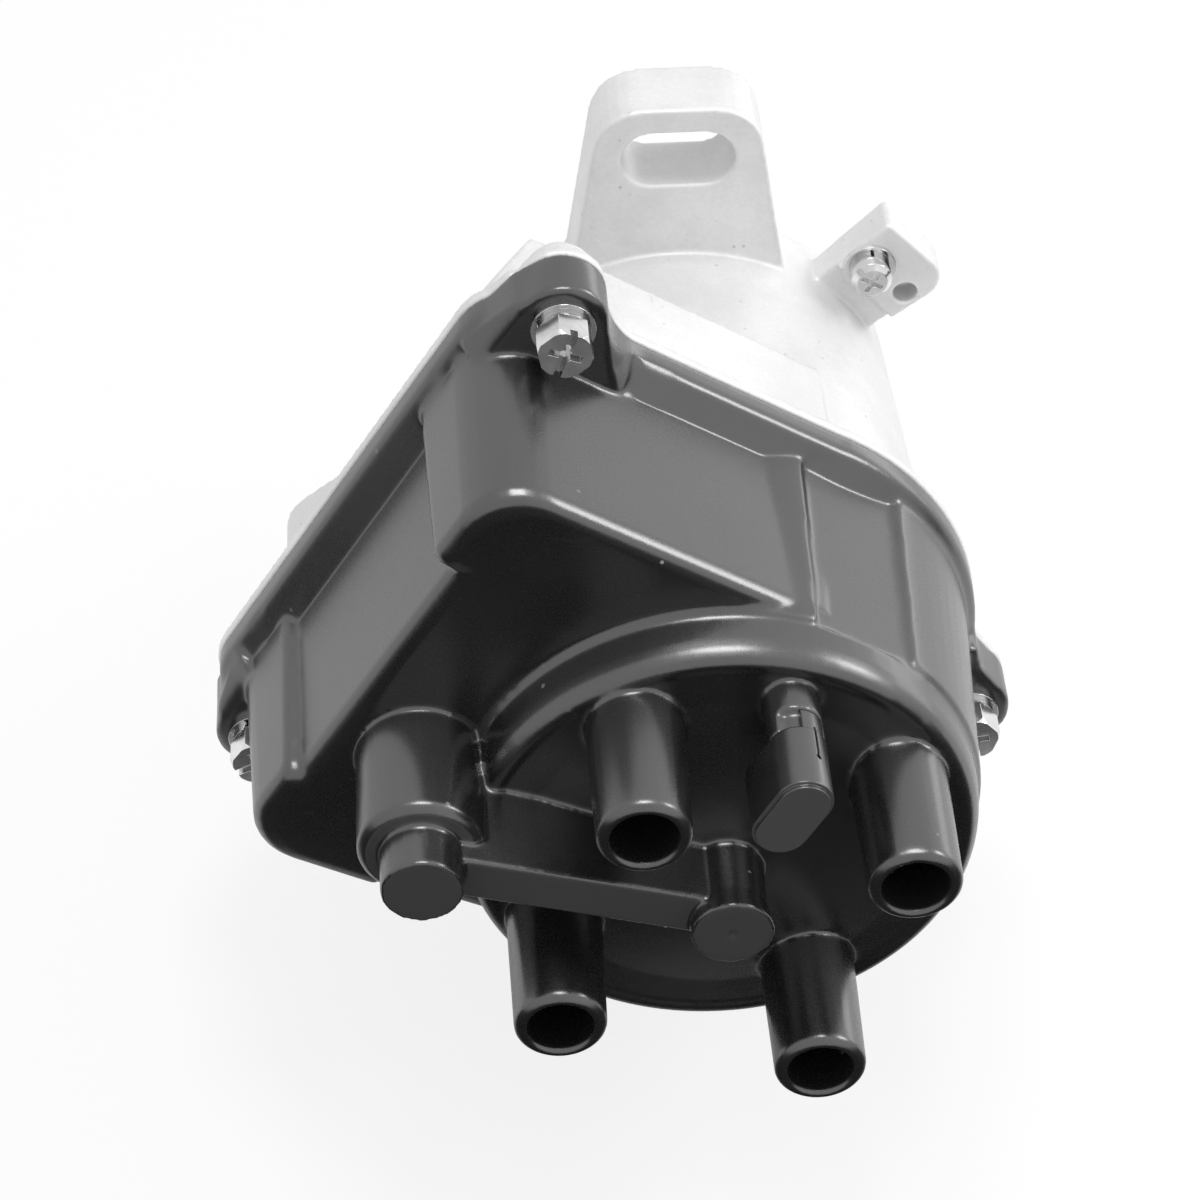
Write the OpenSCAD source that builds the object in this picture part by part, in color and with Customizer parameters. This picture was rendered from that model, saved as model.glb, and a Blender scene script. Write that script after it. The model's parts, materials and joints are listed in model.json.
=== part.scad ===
// Ignition distributor: cast housing, moulded cap with coil cover, rotor, shaft and drive coupling.
// The shaft lies along Y. The mounting face is at y = 0, the cap looks towards -Y and +Z is up.
// All sizes are in millimetres.

/* [Show] */
// Which piece to show

/* [Housing] */
// Mounting face to the cap joint
body_length = 65; // [58:1:75]
// Outside radius of the round body at the mounting face
body_back_r = 38.2; // [37.5:0.1:39]
// Outside radius of the round body at the cap joint
body_front_r = 41; // [40.5:0.1:41.5]
// Wall of the round body at the cap joint
body_wall = 5.5; // [4.75:0.25:6]
// Thickness of the flange under the cap
flange_thick = 2; // [1.6:0.1:3]
// Depth of the coil chamber behind the joint
chamber_depth = 23; // [21:0.5:26]
// Radius of the pilot nose that enters the engine
pilot_r = 17; // [16.5:0.25:19]
// Length of the pilot nose
pilot_length = 15; // [14:0.5:18]

/* [Mounting ears] */
// Thickness of the ears
ear_thick = 13; // [10:0.5:15]
// Width of the slots
slot_width = 10.4; // [8.6:0.2:11]
// End to end length of the slots
slot_length = 19; // [15:0.5:20]
// Shaft axis to the slots of the upper and lower ears
slot_reach = 57.9; // [55:0.1:60]
// Shaft axis to the slot of the longer side ear
side_slot_reach = 67.9; // [63:0.1:70]

/* [Cap] */
// Joint to the ends of the plug towers
cap_height = 75; // [72:1:80]
// Joint to the flat face of the coil cover
cover_height = 41.5; // [40:0.5:43]
// Shaft axis to the plug towers
tower_reach = 30.1; // [29.5:0.1:30.5]
// Outside radius of a plug tower at its mouth
tower_r = 7.25; // [7:0.05:7.6]
// Radius of the bore of a plug tower
tower_bore_r = 5.1; // [4.6:0.1:5.3]
// Thickness of the cap rim
rim_thick = 5; // [4:0.25:6]
// Thickness of the screw lugs
lug_thick = 9; // [8:0.5:11]
// Wall of the moulded cap
cap_wall = 3.2; // [2.6:0.1:3.6]

/* [Shaft] */
// Radius of the shaft
shaft_r = 6; // [5.5:0.1:6.2]
// Gap between the rotor blade and the plug terminals
spark_gap = 0.6; // [0.4:0.1:1.2]

/* [Hidden] */
$fn = 64;
eps = 0.02;
slip = 0.05;
joint_y = -body_length;
rim_y = joint_y - rim_thick;
lug_y = joint_y - lug_thick;
cover_y = joint_y - cover_height;
tower_y = joint_y - cap_height;
disc_y = tower_y + 24;
dome_y = disc_y - 4.5;
floor_y = -8;
chamber_y = joint_y + chamber_depth;
hump_turn = 58;
disc_r = body_front_r;
rim_r = 46;
rim_top = 67.4;
chamber_r = body_front_r - body_wall;
cap_chamber_r = disc_r - cap_wall - 0.8;
partition_r = 39.4;
lug_r = 7.1;
lug_points = [[48.6, 56.3], [-49.2, 56.3], [12.2, -45.3]];
coil_stub = [-13.1, 47.1];
tower_angles = [117.4, 27.4, -62.6, -152.6];
vent_angle = 72.4;
vent_reach = 32;
hood_turn = 240;
bearing_y = -24;
bearing_w = 8;
wheel_r = 22;
crank_wheel_y = bearing_y - 9;
cylinder_wheel_y = joint_y + 14;
timing_wheel_y = (crank_wheel_y + cylinder_wheel_y) / 2;
wheel_pitch = crank_wheel_y - timing_wheel_y;

// Outline helpers

function unit(v) = v / norm(v);

function turn_of(a, b) = (b - a > 180) ? b - a - 360 : (b - a < -180) ? b - a + 360 : b - a;

// Points of the arc of radius r that rounds the corner b between a and c
function corner(a, b, c, r, n) =
    let (u = unit(a - b), v = unit(c - b), half = acos(u * v) / 2, m = b + unit(u + v) * r / sin(half))
    let (p = b + u * r / tan(half), q = b + v * r / tan(half))
    let (s = atan2(p.y - m.y, p.x - m.x), t = turn_of(s, atan2(q.y - m.y, q.x - m.x)))
    [for (i = [0:n]) m + r * [cos(s + t * i / n), sin(s + t * i / n)]];

// Outline with every corner rounded by its own radius
function rounded(p, r, n = 6) =
    let (k = len(p))
    [for (i = [0:k - 1]) each corner(p[(i + k - 1) % k], p[i], p[(i + 1) % k], r[i], n)];

// Outline moved inwards by d, corners given counter-clockwise
function inset(p, d) =
    let (k = len(p))
    [for (i = [0:k - 1])
        let (u = unit(p[i] - p[(i + k - 1) % k]), v = unit(p[(i + 1) % k] - p[i]))
        let (m = [-u.y, u.x], w = [-v.y, v.x])
        p[i] + d * (m + w) / (1 + m * w)];

// Flat shape drawn in X and Z, made solid from y0 to y1
module slab(y0, y1) translate([0, y1, 0]) rotate([90, 0, 0]) linear_extrude(height = y1 - y0) children();

// Round bar or cone along Y
module bar(y0, y1, r, r_end = undef)
    translate([0, y0, 0]) rotate([-90, 0, 0]) cylinder(h = y1 - y0, r1 = r, r2 = is_undef(r_end) ? r : r_end);

// Ring along Y
module ring(y0, y1, outer, inner) difference() {
    bar(y0, y1, outer);
    bar(y0 - 1, y1 + 1, inner);
}

// Profile of radius and y turned round the shaft axis
module lathe(p) rotate([90, 0, 0]) rotate_extrude() polygon([for (q = p) [q.x, -q.y]]);

// Place something at a radius and angle round the shaft
module at_polar(r, a) translate([r * cos(a), 0, r * sin(a)]) children();

// Turn something round the shaft
module spun(a) rotate([0, -a, 0]) children();

// The coil cover is square to this turned frame
module hump_frame() rotate([0, -hump_turn, 0]) children();

// Place something at a point of the turned frame
module at_hump(p) hump_frame() translate([p.x, 0, p.y]) children();

// Screw: head, shank along +Y from the seat
module screw(seat_y, head_r, head_h, shank_r, reach) {
    difference() {
        bar(seat_y - head_h, seat_y, head_r);
        translate([0, seat_y - head_h, 0]) cross_recess(head_r * 0.55, head_h * 0.55);
    }
    bar(seat_y - eps, seat_y + reach, shank_r);
}

module cross_recess(r, depth) for (a = [0, 90]) rotate([0, a, 0])
    translate([-r, -1, -0.55]) cube([2 * r, depth + 1, 1.1]);

// Outlines of the cap and housing, in the turned frame: x towards the long upper wall, y towards the coil side

module hump_outline(d, r) polygon(rounded([
    [-39.5 + d, 0], [41.5 - d, 0], [41.5 - d, 62.6 - d], [-45.4 + d, 62.6 - d]], [1, 1, max(r, 1), max(r, 1)]));

module rim_shape(d) {
    circle(r = rim_r - d, $fn = 96);
    polygon(rounded([[-44.2 + d, 0], [45.9 - d, 0], [45.9 - d, rim_top - d], [-50 + d, rim_top - d]], [1, 1, 9, 9]));
}

module lug_shape() {
    for (p = lug_points) translate(p) circle(r = lug_r);
    // hollow curves from the straight sides to the lugs
    polygon(concat([lug_points[0], [47.4, rim_top - 2.8], [36, rim_top - 0.5], [36, 39.6]], hollow([57.9, 39.6], 12, 180, 119.1)));
    polygon(concat([lug_points[1], [-48, rim_top - 2.8], [-37, rim_top - 0.5], [-37, 38.6]], hollow([-59.4, 40.1], 12, 4, 57.8)));
    polygon([[21.5, -33], [24.6, -38.6], [20.9, -42.2], [18.9, -47.3], lug_points[2], [6.6, -49.6], [1, -47.2],
        [-6.5, -45.4], [-4, -38.5]]);
}

// Points on an arc round m
function hollow(m, r, from, to, n = 6) = [for (i = [0:n]) m + r * [cos(from + (to - from) * i / n), sin(from + (to - from) * i / n)]];

module flange_shape() {
    rim_shape(0);
    lug_shape();
}

// Inner outline of the coil space, kept outside the round rotor chamber
module coil_space(d) difference() {
    hump_outline(d, 8);
    circle(r = partition_r);
}

// Front of the cap's rim, which slopes up to the walls
module rim_slope() hull() for (s = [[0.3, rim_y + 1.6], [0.3, rim_y + 0.4], [1.1, rim_y - 0.1], [5.2, rim_y - 2.1]])
    hump_frame() slab(s.y, s.y + 0.1) rim_shape(s.x);

// One step of a moulded block: outline p drawn in by the draft at height y
module block_slice(p, r, d, y) hump_frame() slab(y, y + 0.1) polygon(rounded(inset(p, d), r, 7));

// Moulded block with draft and a rounded front edge
module drafted_block(p, r, y0, y1, draft, edge) hull() {
    block_slice(p, r, 0, y0 + 1);
    block_slice(p, r, draft * (1 - edge / (y0 - y1)), y1 + edge);
    block_slice(p, r, draft + edge * 0.12, y1 + edge * 0.5);
    block_slice(p, r, draft + edge * 0.35, y1 + edge * 0.2);
    block_slice(p, r, draft + edge, y1);
}

// Housing

module ear_shape(reach) difference() {
    polygon(rounded([[-18.8, 30], [18.8, 30], [18.3, 34], [13.2 + (slot_reach - reach) * 0.08, reach + 9.8],
        [-13.2 - (slot_reach - reach) * 0.08, reach + 9.8], [-18.3, 34]], [0.5, 0.5, 0.5, 8.6, 8.6, 0.5]));
    slot_shape(reach);
}

module slot_shape(reach) {
    for (s = [-1, 1]) translate([s * (slot_length - slot_width) / 2, reach]) circle(d = slot_width);
    translate([-(slot_length - slot_width) / 2, reach - slot_width / 2])
        square([slot_length - slot_width, slot_width]);
}

ear_list = [[0, slot_reach], [120, side_slot_reach], [-150, slot_reach]];

module bracket() {
    slab(-ear_thick + 1.7, -ear_thick + 7.4)
        polygon(rounded([[24, 30.6], [16, 22], [30, 10], [33.4, 19.2], [47.6, 30.6], [36, 43]],
            [0.5, 0.5, 0.5, 0.5, 4.5, 1], 5));
    slab(-ear_thick, -ear_thick + 3)
        polygon(rounded([[27.7, 33.9], [37.4, 22.6], [47.6, 30.6], [36, 43]], [0.4, 0.4, 4.5, 1], 5));
}

bracket_hole = [33, 34.3];
bracket_pin_hole = [39.5, 28.1];

module housing() color("silver") difference() {
    union() {
        bar(joint_y + 0.5, -1.2, body_front_r, body_back_r + 0.1);
        bar(-1.25, 0, body_back_r + 0.1, body_back_r - 1.1);
        hump_frame() slab(joint_y, joint_y + flange_thick) {
            rim_shape(-0.2);
            lug_shape();
        }
        difference() {
            hump_frame() slab(joint_y + 0.5, chamber_y) polygon(rounded(
                [[-40.6, 0], [41.2, 0], [41.2, 63.4], [-46.4, 63.4]], [1, 1, 9, 9]));
            coil_slope(0);
        }
        for (p = lug_points) at_hump(p) {
            bar(joint_y + 0.5, joint_y + 5, lug_r - 0.9, lug_r - 1.6);
            bar(joint_y + 4.98, joint_y + 7.8, lug_r - 1.6, lug_r - 3.4);
        }
        for (e = ear_list) slab(-ear_thick, 0) rotate(e.x) ear_shape(e.y);
        bracket();
        bar(-eps, pilot_length - 1, pilot_r);
        bar(pilot_length - 1.02, pilot_length, pilot_r, pilot_r - 1);
    }
    // round cavity, with the bearing hub left standing
    difference() {
        bar(joint_y - 1, floor_y, chamber_r);
        bar(bearing_y, floor_y + 1, 23.5);
        for (a = post_angles) at_polar(post_reach, a) bar(joint_y + 3.5, floor_y + 1, 4.4);
        for (s = sensor_list) sensor_pad(s.x, s.y);
    }
    // coil chamber, with bosses for the coil, the igniter and the lead
    difference() {
        hump_frame() slab(joint_y - 1, chamber_y - 3.2) coil_space(4);
        for (p = coil_feet) at_hump(p) bar(coil_seat_y, chamber_y, 4.4);
        for (p = igniter_feet) at_hump(p) bar(coil_seat_y, chamber_y, 3.4);
        coil_slope(3.75);
    }
    // stepped bore for the bearing, seal, shaft and bush
    bar(bearing_y - 1, bearing_y + bearing_w, 14 + slip);
    bar(bearing_y + bearing_w - eps, -9, 11 + slip);
    bar(-9 - eps, 3.5, shaft_r + 1);
    bar(3.5 - eps, pilot_length + 1, 8 + slip);
    // groove for the sealing ring
    ring(5, 8.4, pilot_r + 1, pilot_r - 2.45);
    // threaded holes
    for (p = lug_points) at_hump(p) bar(joint_y - 1, joint_y + 6.9, 2.5);
    for (a = post_angles) at_polar(post_reach, a) bar(joint_y + 2, joint_y + 14, 1.75);
    for (p = coil_feet) at_hump(p) bar(coil_seat_y - 1, chamber_y - 1.5, 2);
    for (p = igniter_feet) at_hump(p) bar(coil_seat_y - 1, chamber_y - 1.5, 1.5);
    for (a = [50, 170, 290]) at_polar(18.6, a) bar(bearing_y - 1, bearing_y + 9, 1.75);
    for (s = sensor_list) spun(s.x) for (z = sensor_feet) translate([sensor_foot_r, 0, z]) bar(s.y - 1, s.y + 7, 1.5);
    translate([bracket_hole.x, 0, bracket_hole.y]) bar(-ear_thick - 1, 0, 2);
    translate([bracket_pin_hole.x, 0, bracket_pin_hole.y]) bar(-ear_thick - 1, -ear_thick + 5, 2.1);
    // lead outlet under the coil chamber
    hump_frame() translate([-30, joint_y + 14, lead_u]) rotate([0, -90, 0]) cylinder(h = 20, r = 5.4 + slip);
}

// Everything past the sloping back of the coil side, drawn in by w
module coil_slope(w) hump_frame() translate([-70, 0, 0]) rotate([90, 0, 90]) linear_extrude(height = 140)
    polygon([[joint_y + flange_thick, rim_top - 0.4 - w], [chamber_y + 1, rim_top - 0.4 - w - 0.525 * (chamber_y + 1 - joint_y - flange_thick)],
        [chamber_y + 1, 90], [joint_y + flange_thick, 90]]);

post_angles = [20, 140, 260];
post_reach = chamber_r - 4;
sensor_feet = [-7.7, 7.7];
sensor_foot_r = wheel_r + 7;

// Turn of each sensor and the level of its seat
sensor_list = [[170, crank_wheel_y + 6], [-60, timing_wheel_y + 6], [60, cylinder_wheel_y + 6]];

module sensor_pad(a, y) spun(a) translate([wheel_r + 2.6, y, -11]) cube([14, floor_y + 1 - y, 22]);

// Cap

// Round side of the cap, its shoulder, the fine crease inside it and the shallow cone of the end face
module cap_round() lathe([[0, rim_y + 2], [disc_r + 3.35, rim_y + 2], [disc_r + 0.7, cover_y - 0.6],
    [disc_r, cover_y - 1], [disc_r - 0.3, disc_y + 4], [disc_r - 0.7, disc_y + 2.1], [disc_r - 1.5, disc_y + 0.7],
    [disc_r - 2.5, disc_y], [disc_r - 3.5, disc_y + 0.1], [disc_r - 3.9, disc_y + 0.5], [31, disc_y],
    [20, disc_y - 2.2], [8, dome_y], [0, dome_y - 0.2]]);

module tower(a) at_polar(tower_reach, a) {
    bar(tower_y + 1, disc_y + 4, tower_r, tower_r + 0.45);
    bar(tower_y, tower_y + 1.01, tower_r - 1, tower_r);
}

module distributor_cap() color([0.1, 0.1, 0.1]) difference() {
    union() {
        difference() {
            cap_round();
            // flat panel beside the coil cover
            hump_frame() translate([0, 0, -9.6]) linear_extrude(height = 18)
                polygon([[39.9, cover_y - 1.3], [60, cover_y - 1.3], [60, rim_y + 1], [42.1, rim_y + 1]]);
        }
        hump_frame() slab(rim_y + 0.7, joint_y) flange_shape();
        rim_slope();
        hump_frame() slab(lug_y, joint_y) lug_shape();
        drafted_block([[-39.8, 5], [36, 5], [38, 62.6], [-45.2, 62.6]], [1, 1, 4, 9], rim_y, cover_y, 1.7, 2.6);
        drafted_block([[16, 12], [38.8, 4.6], [41.5, 9.2], [41.5, 65.8], [20.6, 65.8]],
            [1, 0.5, 0.5, 9.5, 1.5], rim_y, cover_y, 1.2, 2.6);
        drafted_block([[-44.4, 36], [-24.6, 36], [-24.6, 64.4], [-46.2, 64.4]],
            [1, 1, 1.2, 9], rim_y, cover_y, 1.4, 2.6);
        at_hump(coil_stub) {
            bar(tower_y + 13.2, cover_y + 3, 9.75);
            bar(tower_y + 12, tower_y + 13.21, 8.6, 9.75);
            bar(tower_y + 4, tower_y + 13, 6.3);
        }
        // covered lead from the coil stub to the centre stub
        hump_frame() duct(tower_y + 8.2, disc_y + 6, 7.7);
        bar(tower_y + 9.6, dome_y + 2, 5.9);
        bar(tower_y + 5.4, tower_y + 9.61, 6.5, 5.9);
        for (a = tower_angles) tower(a);
        at_polar(vent_reach, vent_angle) {
            bar(tower_y + 7, disc_y + 3, 3.3);
            difference() {
                bar(tower_y + 14.3, disc_y + 3, 4.4);
                slab(tower_y + 14, tower_y + 18.4) vent_sector(20, 126);
            }
        }
    }
    // rotor chamber
    difference() {
        lathe([[0, joint_y + 1], [cap_chamber_r, joint_y + 1], [cap_chamber_r - 0.8, disc_y + 6.4],
            [cap_chamber_r - 2.4, disc_y + 4.4], [8, dome_y + 4.6], [0, dome_y + 4.6]]);
        bar(dome_y, disc_y + 13, 5.6);
        for (a = tower_angles) at_polar(tower_reach, a) bar(disc_y, disc_y + 16.5, 5);
    }
    // coil space under the cover
    hump_frame() slab(cover_y + cap_wall + 0.4, joint_y + 1) coil_space(cap_wall + 1.9);
    at_hump(coil_stub) bar(tower_y + 22, cover_y + 5, 6.2);
    // moulded-in metal: lead bar, stub pin, plug terminals
    hump_frame() duct(bar_y - slip, bar_y + 2 + slip, 3 + 2 * slip);
    at_hump(coil_stub) bar(bar_y, tower_y + 23, 2 + slip);
    bar(bar_y, dome_y + 20, 2.5);
    for (a = tower_angles) at_polar(tower_reach, a) {
        bar(tower_y - 1, terminal_y, tower_bore_r);
        bar(tower_y - eps, tower_y + 0.5, tower_bore_r + 0.5, tower_bore_r);
        bar(terminal_y - 1, terminal_y + 2, 4.4 + slip);
        bar(terminal_y, disc_y + 20, terminal_r + slip);
    }
    // vent passage
    at_polar(vent_reach, vent_angle) bar(tower_y + 6, disc_y + 10, 2);
    // dimple left by the moulding gate
    bar(tower_y + 5, tower_y + 6, 0.6);
    for (p = lug_points) at_hump(p) {
        bar(lug_y - 1, joint_y + 1, 2.9);
        // room for the screw head and its washers
        bar(cover_y - 3, lug_y, 5.5);
    }
    // groove for the seal
    hump_frame() slab(joint_y - 2, joint_y + 1) seal_shape(0);
}

module duct(y0, y1, w) slab(y0, y1) rotate(atan2(coil_stub.y, coil_stub.x))
    translate([0, -w / 2]) square([norm(coil_stub), w]);

// Ring outline of the seal, drawn in by d on both sides
module seal_shape(d) difference() {
    seal_edge(d);
    seal_edge(1.8 - d);
}

module seal_edge(d) {
    circle(r = disc_r + 2 - d);
    hump_outline(d - 0.6, 8 - d);
}

bar_y = tower_y + 11.4;
terminal_y = disc_y - 1.5;
terminal_r = 3;

module vent_hood() color([0.16, 0.16, 0.16]) at_polar(vent_reach, vent_angle) difference() {
    union() {
        slab(tower_y + 2.7, tower_y + 14.3) hood_shape(4.4);
        slab(tower_y + 2, tower_y + 2.71) hood_shape(3.9);
        // tab that closes half of the window in the tube
        intersection() {
            bar(tower_y + 14.2, tower_y + 18.1, 4.35);
            slab(tower_y + 14.2, tower_y + 18.1) vent_sector(24, 80);
        }
    }
    bar(tower_y + 5.8, tower_y + 20, 3.3 + slip);
    // vent slit with its round end
    spun(52) translate([3.9, tower_y + 9, -0.16]) cube([1, 6, 0.32]);
    spun(52) translate([3.7, tower_y + 8.8, 0]) rotate([0, 90, 0]) cylinder(h = 1, r = 0.45);
    // air channel beside the spigot
    spun(hood_turn) translate([0, tower_y + 5.8, -2.3]) cube([7.4, 12, 4.6]);
}

// Sector of the vent tube between two angles
module vent_sector(a, b) polygon([[0, 0], for (t = [0:3]) 8 * [cos(a + (b - a) * t / 3), sin(a + (b - a) * t / 3)]]);

module hood_shape(r) {
    circle(r = r);
    rotate(hood_turn) {
        translate([6.4, 0]) circle(r = r);
        translate([0, -r]) square([6.4, 2 * r]);
    }
}

module cap_seal() color([0.2, 0.2, 0.2]) hump_frame() slab(joint_y - 1.95, joint_y) seal_shape(slip);

module plug_terminals() color("goldenrod") for (a = tower_angles) at_polar(tower_reach, a) {
    bar(terminal_y, terminal_y + 2, 4.4);
    bar(terminal_y + 1.9, disc_y + 20, terminal_r);
    bar(disc_y + 19.9, disc_y + 21, terminal_r, terminal_r - 0.8);
}

module centre_bar() color("goldenrod") {
    hump_frame() duct(bar_y, bar_y + 2, 3);
    at_hump(coil_stub) bar(bar_y, tower_y + 26, 2);
    bar(bar_y, bar_y + 2.4, 2.3);
}

// Round wire coil along Y, as a stack of rings joined by a thin core strip
module wire_spring(y0, y1, r, wire, turns) {
    step = (y1 - y0 - 2 * wire) / turns;
    rotate([90, 0, 0]) for (i = [0:turns]) translate([0, 0, -(y0 + wire + i * step)])
        rotate_extrude() translate([r - wire, 0]) circle(r = wire, $fn = 16);
    translate([r - 1.6 * wire, y0 + wire, -wire * 0.8]) cube([1.2 * wire, y1 - y0 - 2 * wire, wire * 1.6]);
}

blade_y = disc_y + 19.8;
blade_reach = tower_reach - terminal_r - spark_gap;
brush_y = blade_y - 2.3;

module carbon_brush() color([0.25, 0.25, 0.27]) {
    bar(brush_y - 14, brush_y - 0.6, 2.45);
    bar(brush_y - 0.61, brush_y, 2.45, 2);
    bar(brush_y - 15.5, brush_y - 13.99, 1.2);
}

module brush_spring() color("silver") wire_spring(bar_y + 2.5, brush_y - 14.05, 2.2, 0.28, 5);

module coil_contact_spring() color("silver") at_hump(coil_stub)
    wire_spring(tower_y + 26.1, coil_top_y - 3.1, 2.2, 0.3, 5);

// Rotor

rotor_turn = 117.4;

module rotor_arm() color([0.24, 0.16, 0.1]) difference() {
    union() {
        bar(blade_y + 2.6, joint_y - 1, 9.5, 11);
        bar(joint_y - 4, joint_y - 2.4, 20);
        bar(blade_y + 1.2, blade_y + 4, 13);
        slab(blade_y + 1.2, blade_y + 6) rotate(rotor_turn) polygon(rounded(
            [[0, -6.5], [blade_reach - 2, -5], [blade_reach - 2, 5], [0, 6.5]], [0.5, 2, 2, 0.5]));
        slab(blade_y + 6, joint_y - 4) rotate(rotor_turn) translate([0, -1.5])
            polygon([[0, 0], [18, 0], [18, 3], [0, 3]]);
        spun(rotor_turn + 180) translate([6, joint_y - 11, 0]) rotate([0, 90, 0]) cylinder(h = 7.5, r = 4.5);
    }
    bar(rotor_end_y - 0.4, joint_y, shaft_top_r + slip);
    spun(rotor_turn + 180) translate([0, joint_y - 11, 0]) rotate([0, 90, 0]) cylinder(h = 30, r = 2.1);
}

shaft_top_r = shaft_r - 1;
rotor_end_y = blade_y + 7;

module rotor_blade() color("goldenrod") {
    slab(blade_y, blade_y + 1.15) rotate(rotor_turn) polygon(rounded(
        [[-4.5, -4], [blade_reach, -3.2], [blade_reach, 3.2], [-4.5, 4]], [3, 0.4, 0.4, 3]));
    bar(blade_y - 1, blade_y + 0.1, 2.6, 4.2);
    bar(blade_y - 2, blade_y - 0.99, 1.6, 2.6);
}

module rotor_screw() color("silver") spun(rotor_turn + 180) translate([0, joint_y - 11, 0]) rotate([0, 90, 0]) {
    translate([0, 0, -1]) cylinder(h = 14.6, r = 2);
    difference() {
        translate([0, 0, 13.55]) cylinder(h = 2.4, r = 3.6);
        translate([-4, -0.5, 14.9]) cube([8, 1, 3]);
    }
}

// Inner cover over the sensors

module inner_cover() color([0.13, 0.12, 0.12]) difference() {
    union() {
        bar(joint_y + 1.6, joint_y + 3.5, chamber_r - 0.5);
        bar(joint_y - 0.1, joint_y + 2, 12.5);
    }
    bar(joint_y - 1, joint_y + 5, shaft_r + 0.9);
    bar(joint_y + 1.2, joint_y + 5, 10.6);
    for (a = post_angles) at_polar(post_reach, a) bar(joint_y, joint_y + 5, 2);
}

module inner_cover_screws() color("silver") for (a = post_angles)
    at_polar(post_reach, a) screw(joint_y + 1.6, 3.1, 1.9, 1.7, 11);

// Coil and igniter

coil_seat_y = joint_y + 13;
coil_top_y = cover_y + 5.4;
coil_feet = [[-17.4, 49.2], [33.1, 49.2]];
igniter_feet = [[-28.6, 44.4], [-28.6, 51.6]];
core_y0 = coil_top_y + 4.9;
core_y1 = coil_seat_y;
core_x0 = -12.6;
core_w = 42.2;

module hump_box(p, s) hump_frame() translate(p) cube(s);

module core_outline() difference() {
    translate([core_x0, core_y0]) square([core_w, core_y1 - core_y0]);
    for (x = [6.1, 27.1]) translate([core_x0 + x, core_y0 + 7]) square([9, core_y1 - core_y0 - 14]);
}

// The core is a stack of steel sheets
module coil_core() color("dimgray") hump_frame() for (i = [0:5]) translate([0, 0, 43.5 + i * 1.85])
    linear_extrude(height = 1.86) core_outline();

module coil_case() color([0.07, 0.07, 0.08]) difference() {
    union() {
        hump_box([core_x0 + 6.2, core_y0 + 7.1, 41], [core_w - 12.4, core_y1 - core_y0 - 14.2, 16]);
        for (z = [41, 54.8]) hump_box([core_x0 + 6.2, coil_top_y, z], [core_w - 12.4, core_y1 - coil_top_y - 4, 2.2]);
        hump_box([-21, coil_top_y, 41], [core_x0 + core_w + 20.8, 4.8, 16]);
        hump_box([coil_feet[0].x - 3.4, coil_seat_y - 4.4, 41], [coil_feet[1].x - coil_feet[0].x + 6.8, 4.4, 2.2]);
        for (p = coil_feet) hump_box([p.x - 3.4, coil_seat_y - 4.4, 41], [6.8, 4.4, 12]);
        at_hump(coil_stub) bar(coil_top_y - 9.6, coil_top_y + 1, 4.6, 5.6);
        // low-voltage plug boss
        hump_box([14, coil_top_y + 12, 37.2], [10, 16, 4.4]);
    }
    hump_box([core_x0 + 15.05, coil_top_y + 4.8, 43.4], [12.1, 80, 11.3]);
    at_hump(coil_stub) bar(coil_top_y - 12, coil_top_y - 3, 2.6);
    for (p = coil_feet) at_hump(p) bar(coil_seat_y - 9, coil_seat_y + 1, 2.1);
}

module coil_screws() color("silver") for (p = coil_feet) at_hump(p) screw(coil_seat_y - 4.4, 3.3, 2.6, 1.95, 12);

module igniter_plate() color("gainsboro") difference() {
    union() {
        hump_box([-36.4, cover_y + 12, 41], [2, coil_seat_y - cover_y - 12, 14]);
        hump_box([-36.4, coil_seat_y - 2, 41], [11.6, 2, 14]);
    }
    for (p = igniter_feet) at_hump(p) bar(coil_seat_y - 5, coil_seat_y + 1, 1.7);
}

module igniter_module() color([0.1, 0.1, 0.11]) {
    hump_box([-34.4, cover_y + 14, 41.6], [9.4, coil_seat_y - cover_y - 22, 13]);
    for (i = [0:3]) hump_box([-31, cover_y + 9, 43 + i * 3.2], [0.8, 5.5, 1.8]);
}

module igniter_screws() color("silver") for (p = igniter_feet) at_hump(p) screw(coil_seat_y - 2, 2.8, 2, 1.45, 9);

// Shaft and wheels

module shaft() color("lightgray") difference() {
    union() {
        bar(joint_y - 0.9, 27, shaft_r);
        bar(rotor_end_y, joint_y - 0.8, shaft_top_r);
        bar(crank_wheel_y + 3, bearing_y, shaft_r + 1.5);
        bar(26.98, 27.6, shaft_r, shaft_r - 0.6);
    }
    translate([-20, 22, 0]) rotate([0, 90, 0]) cylinder(h = 40, r = 2 + slip);
    spun(rotor_turn + 180) translate([3.6, rotor_end_y - 1, -8]) cube([8, joint_y - 3 - rotor_end_y, 16]);
    spun(rotor_turn + 180) translate([-2, joint_y - 11, 0]) rotate([0, 90, 0]) cylinder(h = 30, r = 2 + slip);
}

// Toothed sheet wheel with a hub
module wheel(y, teeth, tooth_w, root) difference() {
    union() {
        bar(y - 2, y + 2, root);
        slab(y - 2, y + 2) for (i = [0:teeth - 1]) rotate(360 * i / teeth + 15)
            polygon([[root - 2, -tooth_w * 0.62], [wheel_r, -tooth_w / 2], [wheel_r, tooth_w / 2], [root - 2, tooth_w * 0.62]]);
        bar(y + 3 - wheel_pitch, y + 3, 9);
    }
    bar(y - wheel_pitch, y + 9, shaft_r + slip);
    for (a = [0:60:300]) if (root > 17) at_polar(13, a) bar(y - 3, y + 3, 2.4);
}

module crank_reluctor() color("gray") wheel(crank_wheel_y, 24, 2.6, 19);

module timing_reluctor() color("gray") wheel(timing_wheel_y, 4, 5, 13);

module cylinder_reluctor() color("gray") wheel(cylinder_wheel_y, 1, 5, 13);

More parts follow.
